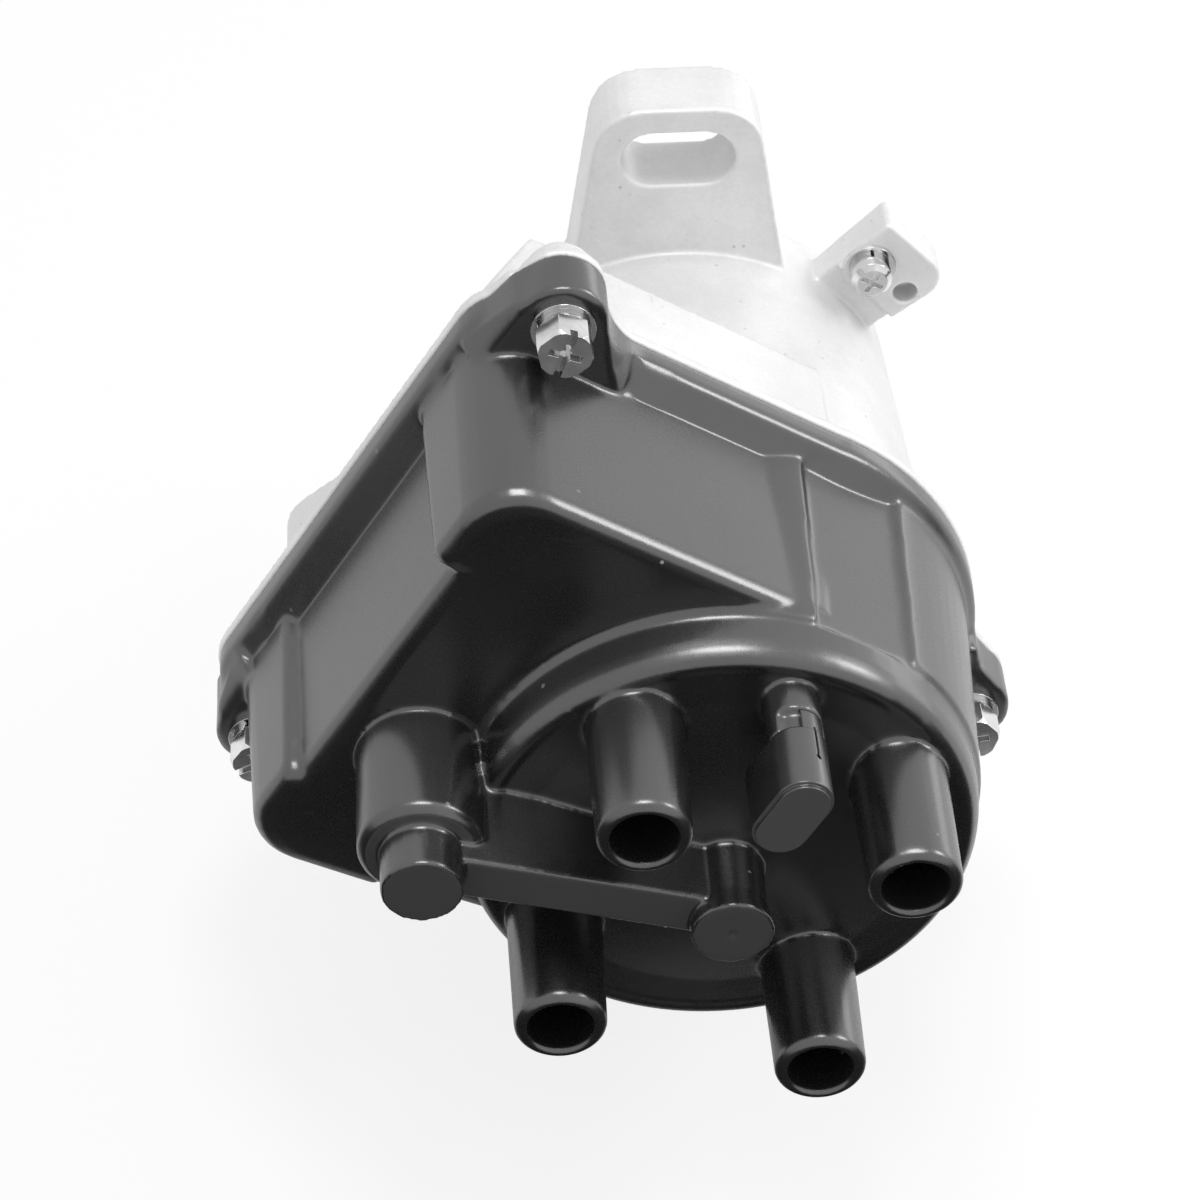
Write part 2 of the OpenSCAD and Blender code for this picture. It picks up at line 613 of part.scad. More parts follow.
// Sensor: foot plate, coil case and pole tip, with its seat at y
module sensor(a, y) spun(a) {
    difference() {
        translate([wheel_r + 3, y - 2.4, -10.4]) cube([8, 2.4, 20.8]);
        for (z = sensor_feet) translate([sensor_foot_r, 0, z]) bar(y - 3, y + 1, 1.7);
    }
    translate([wheel_r + 3, y - 11, -4.6]) cube([8.6, 8.7, 9.2]);
    translate([wheel_r + 0.8, y - 8, -1.3]) cube([3, 4, 2.6]);
}

module crank_sensor() color([0.15, 0.15, 0.17]) sensor(sensor_list[0].x, sensor_list[0].y);

module timing_sensor() color([0.15, 0.15, 0.17]) sensor(sensor_list[1].x, sensor_list[1].y);

module cylinder_sensor() color([0.15, 0.15, 0.17]) sensor(sensor_list[2].x, sensor_list[2].y);

module sensor_screws() color("silver") for (s = sensor_list) spun(s.x) for (z = sensor_feet)
    translate([sensor_foot_r, 0, z]) screw(s.y - 2.4, 2.6, 1.9, 1.45, 8);

// Bearing, bush and seals

ball_r = 2.38;
ball_reach = 10;
bearing_mid = bearing_y + bearing_w / 2;

module race_groove(r) rotate([90, 0, 0]) translate([0, 0, -bearing_mid]) rotate_extrude()
    translate([ball_reach, 0]) circle(r = r, $fn = 48);

module bearing_outer_ring() color("lightsteelblue") difference() {
    ring(bearing_y, bearing_y + bearing_w, 14, 11.6);
    race_groove(ball_r + slip);
}

module bearing_inner_ring() color("lightsteelblue") difference() {
    ring(bearing_y, bearing_y + bearing_w, 8.4, shaft_r + 0.02);
    race_groove(ball_r + slip);
}

module bearing_balls() color("white") for (i = [0:7]) at_polar(ball_reach, i * 45) translate([0, bearing_mid, 0])
    sphere(r = ball_r, $fn = 48);

module bearing_cage() color("goldenrod") difference() {
    ring(bearing_mid - 1.8, bearing_mid + 3.2, 10.9, 9.1);
    for (i = [0:7]) spun(i * 45) translate([0, bearing_mid, 0]) rotate([0, 90, 0]) cylinder(h = 14, r = ball_r + slip);
}

module bearing_retainer() color("gray") difference() {
    bar(bearing_y - 2, bearing_y, 22.5);
    bar(bearing_y - 4, bearing_y + 1, 11.8);
    for (a = [50, 170, 290]) at_polar(18.6, a) bar(bearing_y - 4, bearing_y + 1, 2);
}

module retainer_screws() color("silver") for (a = [50, 170, 290])
    at_polar(18.6, a) screw(bearing_y - 2, 3, 1.9, 1.7, 9.5);

module shaft_bush() color("darkgoldenrod") ring(3.5, pilot_length - 1, 8, shaft_r + slip);

module oil_seal() color([0.25, 0.12, 0.08]) difference() {
    bar(bearing_y + bearing_w + 0.6, -9, 11);
    bar(bearing_y, 0, shaft_r + slip);
    ring(-11.5, -8, 9.4, 7.4);
}

module pilot_ring() color([0.15, 0.15, 0.15]) rotate([90, 0, 0]) translate([0, 0, -6.7]) rotate_extrude()
    translate([pilot_r - 1.1, 0]) circle(r = 1.3, $fn = 32);

module thrust_washer() color("silver") ring(pilot_length + 0.3, pilot_length + 1.1, 10.5, shaft_r + slip);

// Drive coupling with two offset tongues, held to the shaft by a cross pin under a wire ring

module drive_coupling() color("dimgray") difference() {
    union() {
        bar(pilot_length + 2.2, 28.9, 13);
        bar(28.88, 29.5, 13, 12.4);
        intersection() {
            bar(29, 34, 12.4);
            union() {
                translate([-1.7, 29, 3.6]) cube([6.4, 5, 12]);
                translate([-1.7, 29, -15.6]) cube([6.4, 5, 12]);
            }
        }
    }
    bar(10, 28.2, shaft_r + 0.4);
    translate([-20, 22, 0]) rotate([0, 90, 0]) cylinder(h = 40, r = 2 + slip);
    ring(21.2, 22.8, 14, 12.1);
}

module coupling_pin() color("lightgray") translate([-11.8, 22, 0]) rotate([0, 90, 0]) cylinder(h = 23.6, r = 2);

module pin_ring() color("silver") rotate([90, 0, 0]) translate([0, 0, -22]) rotate_extrude()
    translate([12.72, 0]) circle(r = 0.6, $fn = 24);

// Cap fasteners

head_h = 4.8;

module hex_screw() {
    difference() {
        intersection() {
            translate([0, lug_y - 2.3 - head_h, 0]) rotate([-90, 0, 0]) cylinder(h = head_h, r = 4.62, $fn = 6);
            bar(lug_y - 2.3 - head_h, lug_y - 2.3 + 0.1, 3.9, 6.5);
        }
        translate([0, lug_y - 2.3 - head_h, 0]) {
            cross_recess(2.4, 2.4);
            rotate([0, 45, 0]) translate([-6, -1, -0.6]) cube([12, 2.5, 1.2]);
        }
    }
    bar(lug_y - 2.32, joint_y + 6.3, 2.4);
}

module cap_screws() color("whitesmoke") for (p = lug_points) at_hump(p) hex_screw();

module cap_spring_washers() color("lightgray") for (p = lug_points) at_hump(p) difference() {
    ring(lug_y - 2.3, lug_y - 1, 4.2, 2.65);
    translate([0, lug_y - 3, 1]) cube([0.7, 4, 5]);
}

module cap_flat_washers() color("whitesmoke") for (p = lug_points) at_hump(p) ring(lug_y - 1, lug_y, 5, 2.65);

module bracket_screw() color("whitesmoke") translate([bracket_hole.x, 0, bracket_hole.y]) {
    difference() {
        union() {
            bar(-ear_thick - 4.1, -ear_thick - 2, 3.5);
            bar(-ear_thick - 4.9, -ear_thick - 4.09, 2.6, 3.5);
        }
        translate([0, -ear_thick - 4.9, 0]) cross_recess(2, 2);
    }
    bar(-ear_thick - 2.01, -ear_thick + 8.6, 1.95);
}

module bracket_spring_washer() color("lightgray") translate([bracket_hole.x, 0, bracket_hole.y]) difference() {
    ring(-ear_thick - 2, -ear_thick - 1, 3.4, 2.05);
    translate([0, -ear_thick - 3, 1]) cube([0.6, 4, 5]);
}

module bracket_washer() color("lightgray") translate([bracket_hole.x, 0, bracket_hole.y])
    ring(-ear_thick - 1, -ear_thick, 4.6, 2.05);

lead_u = 38;

module lead_grommet() color([0.12, 0.12, 0.12]) hump_frame() translate([0, joint_y + 14, lead_u]) rotate([0, -90, 0])
    difference() {
        union() {
            translate([0, 0, 38]) cylinder(h = 12, r = 5.4);
            translate([0, 0, 45]) cylinder(h = 2.4, r = 6.9);
            translate([0, 0, 49.9]) cylinder(h = 3, r1 = 5.4, r2 = 4.6);
        }
        translate([0, 0, 30]) cylinder(h = 30, r = 3.2);
    }

housing();
distributor_cap();
vent_hood();
cap_seal();
plug_terminals();
centre_bar();
brush_spring();
carbon_brush();
coil_contact_spring();
rotor_arm();
rotor_blade();
rotor_screw();
inner_cover();
inner_cover_screws();
coil_case();
coil_core();
coil_screws();
igniter_module();
igniter_plate();
igniter_screws();
shaft();
crank_reluctor();
timing_reluctor();
cylinder_reluctor();
crank_sensor();
timing_sensor();
cylinder_sensor();
sensor_screws();
bearing_outer_ring();
bearing_inner_ring();
bearing_balls();
bearing_cage();
bearing_retainer();
retainer_screws();
shaft_bush();
oil_seal();
pilot_ring();
thrust_washer();
drive_coupling();
coupling_pin();
pin_ring();
cap_screws();
cap_spring_washers();
cap_flat_washers();
bracket_screw();
bracket_spring_washer();
bracket_washer();
lead_grommet();
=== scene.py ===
import json
import math

import bmesh
import bpy
import numpy as np
from mathutils import Matrix, Vector


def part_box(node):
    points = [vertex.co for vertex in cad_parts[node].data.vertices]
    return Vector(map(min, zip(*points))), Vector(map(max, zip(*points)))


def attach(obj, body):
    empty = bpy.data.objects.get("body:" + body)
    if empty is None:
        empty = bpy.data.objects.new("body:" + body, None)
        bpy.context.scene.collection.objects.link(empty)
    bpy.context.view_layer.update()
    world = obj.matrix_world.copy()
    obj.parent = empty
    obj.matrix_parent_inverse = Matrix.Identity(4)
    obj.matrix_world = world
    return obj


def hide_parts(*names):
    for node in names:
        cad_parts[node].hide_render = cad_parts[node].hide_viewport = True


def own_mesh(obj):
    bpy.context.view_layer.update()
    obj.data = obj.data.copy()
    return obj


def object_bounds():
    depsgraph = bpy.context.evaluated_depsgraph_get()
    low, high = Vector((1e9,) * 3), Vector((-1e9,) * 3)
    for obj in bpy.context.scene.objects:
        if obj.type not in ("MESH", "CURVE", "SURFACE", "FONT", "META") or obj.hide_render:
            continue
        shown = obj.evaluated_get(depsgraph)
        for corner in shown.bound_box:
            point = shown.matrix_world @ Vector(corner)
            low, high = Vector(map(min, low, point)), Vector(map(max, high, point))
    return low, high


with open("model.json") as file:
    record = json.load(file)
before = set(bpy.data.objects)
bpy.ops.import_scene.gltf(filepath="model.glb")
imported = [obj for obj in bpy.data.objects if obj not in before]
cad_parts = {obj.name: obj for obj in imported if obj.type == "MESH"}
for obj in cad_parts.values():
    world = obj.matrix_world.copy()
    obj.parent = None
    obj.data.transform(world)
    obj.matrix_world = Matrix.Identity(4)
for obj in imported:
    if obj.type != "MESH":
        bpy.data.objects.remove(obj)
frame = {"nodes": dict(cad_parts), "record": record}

bl_info = {
    "name": "Ignition Distributor",
    "version": (1, 0, 0),
    "blender": (4, 5, 0),
    "location": "View3D > Sidebar > Distributor",
    "description": "Dresses the packed ignition distributor and sets up its studio",
    "category": "Object",
}

CAD = frame["nodes"]
CAD_BOX = [list(corner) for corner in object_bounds()]
MM = 0.001

# Places along the shaft axis, in metres: housing joint, rim, lug faces, bracket face
JOINT_Y = -0.065
RIM_Y = -0.070
LUG_Y = -0.074
BRACKET_Y = -0.013
# The coil cover's frame is turned about the shaft axis, and U and V are its directions
HUMP_TURN = math.radians(58)
# The cap screws in that frame, the bracket's screw in X and Z, and their turns in degrees
LUG_POINTS = ((0.0486, 0.0563), (-0.0492, 0.0563), (0.0122, -0.0453))
LUG_TURNS = (20, 65, -12)
BRACKET_HOLE = (0.033, 0.0343)
BRACKET_TURN = 30
# How far the brush can be pushed into the cap
BRUSH_TRAVEL = 0.002

# The rim's outline in the turned frame: a box with rounded corners, joined to a disc
RIM_BOX_MIDDLE = (-0.00205, 0.0337)
RIM_BOX_HALF = (0.04795, 0.0337)
RIM_BOX_CORNER = 0.009
RIM_DISC_RADIUS = 0.046
# Inwards from that outline: the rim's edge, then a slope that rises to the front up to the wall
RIM_EDGE = 0.0011
RIM_WALL = 0.0056
RIM_SLOPE = 0.85
RIM_FRONT_Y = -0.0733
# The rounded part of that edge goes this far in and out
RIM_ROUNDING = 0.0003
# How steeply the webs of the upper lugs fall, from the outline of the lug's face outwards
WEB_SLOPE = 1.7

# Front face of the upper lug at +U, in the turned frame, in millimetres
LUG_FACE = ((33.4, 64.9), (39.7, 64.0), (46.1, 63.6), (48.9, 63.2), (51.5, 62.3), (53.3, 60.9),
            (54.7, 58.8), (54.9, 56.0), (54.5, 53.7), (53.3, 51.7), (51.2, 49.9), (48.5, 48.1),
            (44.5, 45.0), (43.0, 43.4), (38.0, 40.0), (30.0, 60.0))
# The upper lug at -U mirrors it, and lies this much further out, in millimetres
MIRROR_SHIFT = 0.6
# Small solids that fill corners of the cap: each ring is Y and an outline, in millimetres
LUG_FILLET = ((-73.9, ((46, 59), (46, 64.6), (47.6, 64.4), (50.4, 63.0), (52.6, 61.2))),
              (-65.1, ((46, 59), (46, 64.9), (47.9, 64.7), (50.8, 63.2), (52.9, 61.3))))
BLOCK_END = ((-71.0, ((38.4, 4.9), (38.4, 12), (41.2, 12), (41.29, 9.6), (41.29, 5.0))),
             (-103.6, ((37.6, 5.8), (37.6, 12), (40.3, 12), (40.37, 9.8), (40.37, 6.0))),
             (-105.6, ((37.4, 6.2), (37.4, 12), (39.3, 12), (39.5, 9.8), (39.5, 6.6))),
             (-106.4, ((36.5, 7.0), (36.5, 12), (37.6, 12), (37.8, 10), (37.8, 8.0))))

# Softened pieces: smoothing passes on the cap, its faint steps and the casting, and triangles
CAP_PASSES = 7
STRIP_PASSES = 40
CASTING_PASSES = 3
TRIANGLE_LIMIT = 195000

# Finishes: Y between which faces that look to the front are matt and painted lighter, on the cap
# and the hood
CAP_ENDS = (-0.1385, -0.1215)
HOOD_ENDS = (-0.16, -0.12)
# The machined mounting face: its lowest Y and its radius
MACHINED_Y = -0.001
MACHINED_RADIUS = 0.0365
# Rays that find the edges to be rounded
BEVEL_SAMPLES = 8
# Sockets of the Mix node for colours, which share their names with those for numbers
MIX_FACTOR, MIX_FIRST, MIX_SECOND, MIX_COLOUR = 0, 6, 7, 2

# The floor: half its side, and the gap between it and the part
FLOOR_HALF = 6.0
FLOOR_GAP = 0.0005
WHITE = (1.0, 1.0, 1.0, 1.0)
# The camera, worked out from the photo
CAMERA_LENS = 108.15
CAMERA_SENSOR = 36.0
CAMERA_CLIP = (0.05, 50.0)
CAMERA_PLACE = (-0.0386745, -0.5066992, 0.4063480)
CAMERA_RIGHT = (0.99837875, -0.05652593, -0.00668447)
CAMERA_DOWN = (-0.04284277, -0.66894865, -0.74207291)


def turned(point):
    """A point of the turned frame, in X, Y and Z."""
    u, v = point
    c, s = math.cos(HUMP_TURN), math.sin(HUMP_TURN)
    return Vector((u * c - v * s, 0.0, u * s + v * c))


# ---------------------------------------------------------------- shader tools


class Wire:
    """A node's socket that takes part in Python arithmetic."""

    def __init__(self, bench, socket):
        self.bench = bench
        self.socket = socket

    def _math(self, operation, *values):
        settings = {"operation": operation}
        return self.bench.node("ShaderNodeMath", settings, dict(enumerate(values)))[0]

    def __add__(self, other):
        return self._math("ADD", self, other)

    def __sub__(self, other):
        return self._math("SUBTRACT", self, other)

    def __rsub__(self, other):
        return self._math("SUBTRACT", other, self)

    def __mul__(self, other):
        return self._math("MULTIPLY", self, other)

    def __pow__(self, other):
        return self._math("POWER", self, other)

    def __neg__(self):
        return self._math("MULTIPLY", self, -1.0)

    def __abs__(self):
        return self._math("ABSOLUTE", self)

    __radd__ = __add__
    __rmul__ = __mul__

    def above(self, level, soft):
        """0 below level, 1 above level + soft, with a smooth step between."""
        settings = {"interpolation_type": "SMOOTHSTEP"}
        values = {"Value": self, "From Min": level, "From Max": level + soft,
                  "To Min": 0.0, "To Max": 1.0}
        return self.bench.node("ShaderNodeMapRange", settings, values)[0]

    def most(self, other):
        return self._math("MAXIMUM", self, other)

    def least(self, other):
        return self._math("MINIMUM", self, other)

    def waves(self, pitch):
        """A sine over this length, in metres, with that pitch."""
        return self._math("SINE", self * (2 * math.pi / pitch))


class Outlets:
    """A node's outputs as wires, by name or number."""

    def __init__(self, bench, sockets):
        self.bench = bench
        self.sockets = sockets

    def __getitem__(self, key):
        return Wire(self.bench, self.sockets[key])

    def __iter__(self):
        return (Wire(self.bench, socket) for socket in self.sockets)


class Bench:
    """A node tree, and the one method that adds nodes to it."""

    def __init__(self, tree):
        self.tree = tree

    def node(self, kind, settings=None, values=None):
        """Any node, from its type, its settings and the values or links of its sockets."""
        made = self.tree.nodes.new(kind)
        for key, value in (settings or {}).items():
            setattr(made, key, value)
        for key, value in (values or {}).items():
            self.join(value, made.inputs[key])
        return Outlets(self, made.outputs)

    def join(self, value, socket):
        if isinstance(value, Wire):
            self.tree.links.new(value.socket, socket)
        else:
            socket.default_value = value

    def place(self):
        """Object coordinates, in metres."""
        return self.node("ShaderNodeTexCoord")["Object"]

    def facing(self):
        """The surface direction, before any rounding or bump."""
        return self.node("ShaderNodeNewGeometry")["Normal"]

    def axes(self, vector):
        """X, Y and Z of a vector."""
        return self.node("ShaderNodeSeparateXYZ", None, {"Vector": vector})

    def noise(self, scale, detail, roughness, stretch=None):
        """Noise from 0 to 1 in object coordinates."""
        vector = self.place()
        if stretch:
            vector = self.node("ShaderNodeMapping", None, {"Vector": vector, "Scale": stretch})[0]
        values = {"Vector": vector, "Scale": scale, "Detail": detail, "Roughness": roughness}
        return self.node("ShaderNodeTexNoise", None, values)[0]

    def specks(self, scale, size, share):
        """Small round specks: 1 inside a speck, in about that share of the cells."""
        values = {"Vector": self.place(), "Scale": scale}
        cell = self.node("ShaderNodeTexVoronoi", {"feature": "F1"}, values)
        chance = self.node("ShaderNodeSeparateColor", None, {"Color": cell["Color"]})
        spot = 1 - cell["Distance"].above(size, size * 0.5)
        return spot * chance["Red"].above(1 - share, 0.01) * (chance["Green"] * 0.7 + 0.3)

    def tint(self, factor, first, second):
        """Colour between two greys, colours or colour sockets."""
        values = {MIX_FACTOR: factor, MIX_FIRST: colour(first), MIX_SECOND: colour(second)}
        return self.node("ShaderNodeMix", {"data_type": "RGBA"}, values)[MIX_COLOUR]


class Finish(Bench):
    """One material while its nodes are being joined."""

    def __init__(self, name, **constants):
        self.material = bpy.data.materials.new(name)
        self.material.use_nodes = True
        super().__init__(self.material.node_tree)
        self.tree.nodes.clear()
        self.shader = self.tree.nodes.new("ShaderNodeBsdfPrincipled")
        self.end = self.tree.nodes.new("ShaderNodeOutputMaterial")
        self.tree.links.new(self.shader.outputs[0], self.end.inputs["Surface"])
        self.feed(**constants)

    def feed(self, **values):
        """Values or links of the shader's sockets, with _ for each space in a name."""
        for socket, value in values.items():
            self.join(value, self.shader.inputs[socket.replace("_", " ")])
        return self

    def rounded(self, radius):
        """The surface direction, with edges rounded to that radius."""
        return self.node("ShaderNodeBevel", {"samples": BEVEL_SAMPLES}, {"Radius": radius})[0]

    def edges(self, radius):
        """1 on edges within that radius, 0 on flat faces."""
        values = {0: self.rounded(radius), 1: self.facing()}
        product = self.node("ShaderNodeVectorMath", {"operation": "DOT_PRODUCT"}, values)
        return (1 - product["Value"]).above(0.01, 0.12)

    def bump(self, height, distance, strength, radius):
        """The surface direction, with rounded edges and a relief of height times distance."""
        values = {"Height": height, "Distance": distance, "Strength": strength,
                  "Normal": self.rounded(radius)}
        return self.node("ShaderNodeBump", None, values)[0]


def colour(value):
    """RGBA from a grey level or three numbers; a socket stays as it is."""
    if isinstance(value, Wire):
        return value
    red, green, blue = value if isinstance(value, (tuple, list)) else (value, value, value)
    return red, green, blue, 1.0


def shade(tone, factor):
    """A colour made darker or lighter, kept under white."""
    return tuple(min(1.0, part * factor) for part in tone)


# ------------------------------------------------------------------- finishes


def black_moulding(name, base, gloss, edge, ends):
    """Satin black thermoset: silky grain, flow marks, matt ends lightened with painted light, hair
    scratches and dust.
    """
    f = Finish(name, Specular_IOR_Level=1.0, IOR=1.68)
    y = f.axes(f.place())["Y"]
    at_ends = y.above(ends[0], 0.0002) * (1 - y.above(ends[1], 0.0002))
    # faces that look to the front at the ends: a matt finish, and a lighter colour that is painted
    # light
    matt = at_ends * (-f.axes(f.facing())["Y"]).above(0.90, 0.08)
    flow = f.noise(34, 4, 0.6)
    grain = f.noise(2400, 2, 0.5)
    peel = f.noise(360, 3, 0.5)
    hairs = (f.noise(160, 2, 0.4, (1, 14, 3)).above(0.70, 0.02)
             + f.noise(140, 2, 0.4, (12, 1, 2)).above(0.72, 0.02))
    dust = f.specks(330, 0.10, 0.02)
    tone = f.tint(flow.above(0.35, 0.3), base * 0.85, base * 1.2)
    tone = f.tint(hairs * 0.10, tone, base * 3)
    tone = f.tint(dust * 0.7, tone, 0.35)
    # painted light: the front-facing ends get a lighter colour on top of their matt roughness
    tone = f.tint(matt, tone, base * 3.6)
    rough = gloss + matt * 0.22 + (flow - 0.5) * 0.08 + (grain - 0.5) * 0.06
    rough = rough + hairs * 0.03 + dust * 0.3
    height = grain * 0.30 + peel * 0.70 + dust * 0.4
    return f.feed(Base_Color=tone, Roughness=rough,
                  Normal=f.bump(height, 0.00003, 0.28, edge)).material


def cast_aluminium(level):
    """Die-cast alloy: pale matt skin, clouds, fine pits, painted highlights on edges; rings on
    machined faces.
    """
    f = Finish("Cast aluminium", Specular_IOR_Level=0.5)
    x, y, z = f.axes(f.place())
    radius = (x * x + z * z) ** 0.5
    on_disc = (1 - radius.above(MACHINED_RADIUS, 0.0005)) * y.above(MACHINED_Y, 0.0005)
    machined = f.axes(f.facing())["Y"].above(0.97, 0.02) * on_disc
    mottle = f.noise(70, 5, 0.65)
    cloud = f.noise(24, 3, 0.55)
    skin = f.noise(1500, 3, 0.6)
    pits = f.specks(620, 0.16, 0.05)
    edges = f.edges(0.0004)
    clouded = (level * 0.86, level * 0.86, level * 0.85)
    tone = f.tint(mottle.above(0.36, 0.3), level * 0.93, level * 1.02)
    tone = f.tint(cloud.above(0.52, 0.2) * 0.5, tone, clouded)
    tone = f.tint((skin - 0.5) * 0.5 + 0.12, tone, level * 0.7)
    tone = f.tint(pits * 0.5, tone, level * 0.45)
    # painted highlight: edges are made lighter in colour
    tone = f.tint(edges * 0.6, tone, min(0.97, level * 1.12))
    rings = radius.waves(0.0003)
    rough = 0.50 + (mottle - 0.5) * 0.12 + (skin - 0.5) * 0.12 - edges * 0.1 - machined * 0.2
    height = (skin * 0.6 + mottle * 0.6 - pits * 0.5) * (1 - machined) + rings * machined * 0.12
    return f.feed(Base_Color=tone, Roughness=rough, Metallic=0.35 + machined * 0.45,
                  Normal=f.bump(height, 0.00005, 0.6, 0.0003)).material


def metal(name, base, rough, grain=1400, depth=0.00001):
    """Plated or bare metal with fine marks, faint stains and painted highlights on edges."""
    edge = 0.00015
    f = Finish(name, Metallic=1.0)
    marks = f.noise(grain, 3, 0.6)
    stain = f.noise(160, 4, 0.6)
    edges = f.edges(edge)
    tone = f.tint(stain.above(0.35, 0.35), shade(base, 0.75), base)
    # painted highlight: edges are made lighter in colour
    tone = f.tint(edges * 0.6, tone, shade(base, 1.15))
    rough = rough + (stain - 0.5) * 0.12 + (marks - 0.5) * 0.08 - edges * 0.04
    return f.feed(Base_Color=tone, Roughness=rough,
                  Normal=f.bump(marks, depth, 0.5, edge)).material


def turned_metal(name, base, rough):
    """Steel turned on the shaft axis: fine rings round Y over faint stains."""
    edge, pitch = 0.00025, 0.00024
    f = Finish(name, Metallic=1.0)
    x, y, z = f.axes(f.place())
    radius = (x * x + z * z) ** 0.5
    end_face = abs(f.axes(f.facing())["Y"]).above(0.7, 0.2)
    rings = y.waves(pitch) * (1 - end_face) + radius.waves(pitch) * end_face
    stain = f.noise(140, 4, 0.6)
    edges = f.edges(edge)
    tone = f.tint(stain.above(0.3, 0.4), shade(base, 0.75), base)
    # painted highlight: edges are made lighter in colour
    tone = f.tint(edges * 0.6, tone, shade(base, 1.2))
    return f.feed(Base_Color=tone, Roughness=rough + (stain - 0.5) * 0.16 + rings * 0.03,
                  Normal=f.bump(rings, 0.000004, 0.5, edge)).material


def soft_black(name, base, rough, grain=1500):
    """Rubber or carbon: matt, faintly mottled, fine grain."""
    f = Finish(name, Specular_IOR_Level=0.35)
    bloom = f.noise(110, 4, 0.6)
    fine = f.noise(grain, 3, 0.6)
    tone = f.tint(bloom.above(0.35, 0.35), base * 0.75, base * 1.5)
    return f.feed(Base_Color=tone, Roughness=rough + (bloom - 0.5) * 0.15,
                  Normal=f.bump(fine, 0.00004, 0.6, 0.0003)).material


def resin(name, base, rough):
    """Potting resin and filled mouldings: slight sheen, tiny bubbles, cloudy colour."""
    f = Finish(name, Specular_IOR_Level=0.5)
    cloud = f.noise(90, 4, 0.6)
    bubbles = f.specks(900, 0.2, 0.06)
    tone = f.tint(cloud.above(0.3, 0.4), shade(base, 0.7), base)
    tone = f.tint(bubbles * 0.3, tone, shade(base, 2.4))
    height = cloud * 0.5 - bubbles
    return f.feed(Base_Color=tone, Roughness=rough + (cloud - 0.5) * 0.14,
                  Normal=f.bump(height, 0.00003, 0.5, 0.0003)).material


def laminated_steel():
    """Core plates: thin stacked sheets seen as fine lines, with grey oxide."""
    f = Finish("Laminated core", Metallic=1.0)
    place = f.axes(f.place())
    across = place["X"] * -math.sin(HUMP_TURN) + place["Z"] * math.cos(HUMP_TURN)
    sheets = across.waves(0.0005)
    oxide = f.noise(240, 4, 0.6)
    tone = f.tint(oxide.above(0.35, 0.3), (0.16, 0.165, 0.18), (0.30, 0.31, 0.33))
    return f.feed(Base_Color=tone, Roughness=0.45 + oxide * 0.2,
                  Normal=f.bump(sheets, 0.00003, 0.6, 0.0002)).material


class Palette:
    """The finishes, made once and named by the record's slots."""

    def __init__(self, looks):
        tone, gloss = looks.plastic_tone, looks.plastic_roughness
        self.made = {}
        self.recipes = {
            "black_moulding": lambda: black_moulding(
                "Black moulding", tone, gloss, 0.0005, CAP_ENDS),
            "hood_moulding": lambda: black_moulding(
                "Hood moulding", tone * 1.4, gloss, 0.0004, HOOD_ENDS),
            "cast_aluminium": lambda: cast_aluminium(looks.casting_tone),
            "zinc_steel": lambda: metal("Bright zinc", (0.88, 0.88, 0.88), 0.17),
            "spring_steel": lambda: metal("Spring steel", (0.70, 0.70, 0.70), 0.22),
            "machined_steel": lambda: turned_metal("Turned steel", (0.52, 0.52, 0.52), 0.32),
            "bearing_steel": lambda: turned_metal("Bearing steel", (0.66, 0.66, 0.67), 0.14),
            "brass": lambda: metal("Brass", (0.72, 0.55, 0.28), 0.28),
            "bronze": lambda: metal("Sintered bronze", (0.50, 0.33, 0.18), 0.48, 2600, 0.00004),
            "silicon_steel": laminated_steel,
            "rubber": lambda: soft_black("Rubber", 0.018, 0.62),
            "seal_rubber": lambda: resin("Seal rubber", (0.10, 0.045, 0.03), 0.55),
            "carbon": lambda: soft_black("Carbon", 0.03, 0.5, 2400),
            "rotor_resin": lambda: resin("Rotor moulding", (0.10, 0.10, 0.105), 0.42),
            "resin_black": lambda: resin("Potted resin", (0.03, 0.03, 0.032), 0.35),
        }

    def __getitem__(self, slot):
        if slot not in self.made:
            self.made[slot] = self.recipes[slot]()
        return self.made[slot]


# ----------------------------------------------------------------- mesh tools


def merged_copy(name):
    """A bmesh from a CAD node, with its loose triangles joined."""
    shape = bmesh.new()
    shape.from_mesh(CAD[name].data)
    bmesh.ops.remove_doubles(shape, verts=shape.verts, dist=2e-6)
    return shape


def piece(name, shape):
    """An object from a bmesh, which is freed."""
    mesh = bpy.data.meshes.new(name)
    shape.to_mesh(mesh)
    shape.free()
    obj = bpy.data.objects.new(name, mesh)
    bpy.context.scene.collection.objects.link(obj)
    return obj


def settle(obj):
    """Turns the modifiers of a piece into its mesh."""
    view = bpy.context.evaluated_depsgraph_get()
    solid = bpy.data.meshes.new_from_object(obj.evaluated_get(view))
    obj.modifiers.clear()
    old = obj.data
    obj.data = solid
    bpy.data.meshes.remove(old)
    return obj


def in_metres(outline, mirror):
    """An outline of millimetres turned into metres, and mirrored for the upper lug at -U."""
    return [(((-u - MIRROR_SHIFT) if mirror else u) * MM, v * MM) for u, v in outline]


def add_loft(shape, rings, mirror=False):
    """Adds a closed solid through rings to a bmesh; each ring is Y and an outline."""
    rows = []
    for y, outline in rings:
        corners = [turned(point) for point in in_metres(outline, mirror)]
        rows.append([shape.verts.new((corner.x, y * MM, corner.z)) for corner in corners])
    faces = [shape.faces.new(rows[0]), shape.faces.new(rows[-1])]
    for lower, upper in zip(rows, rows[1:]):
        for i, corner in enumerate(lower):
            j = (i + 1) % len(lower)
            faces.append(shape.faces.new((corner, lower[j], upper[j], upper[i])))
    bmesh.ops.recalc_face_normals(shape, faces=faces)


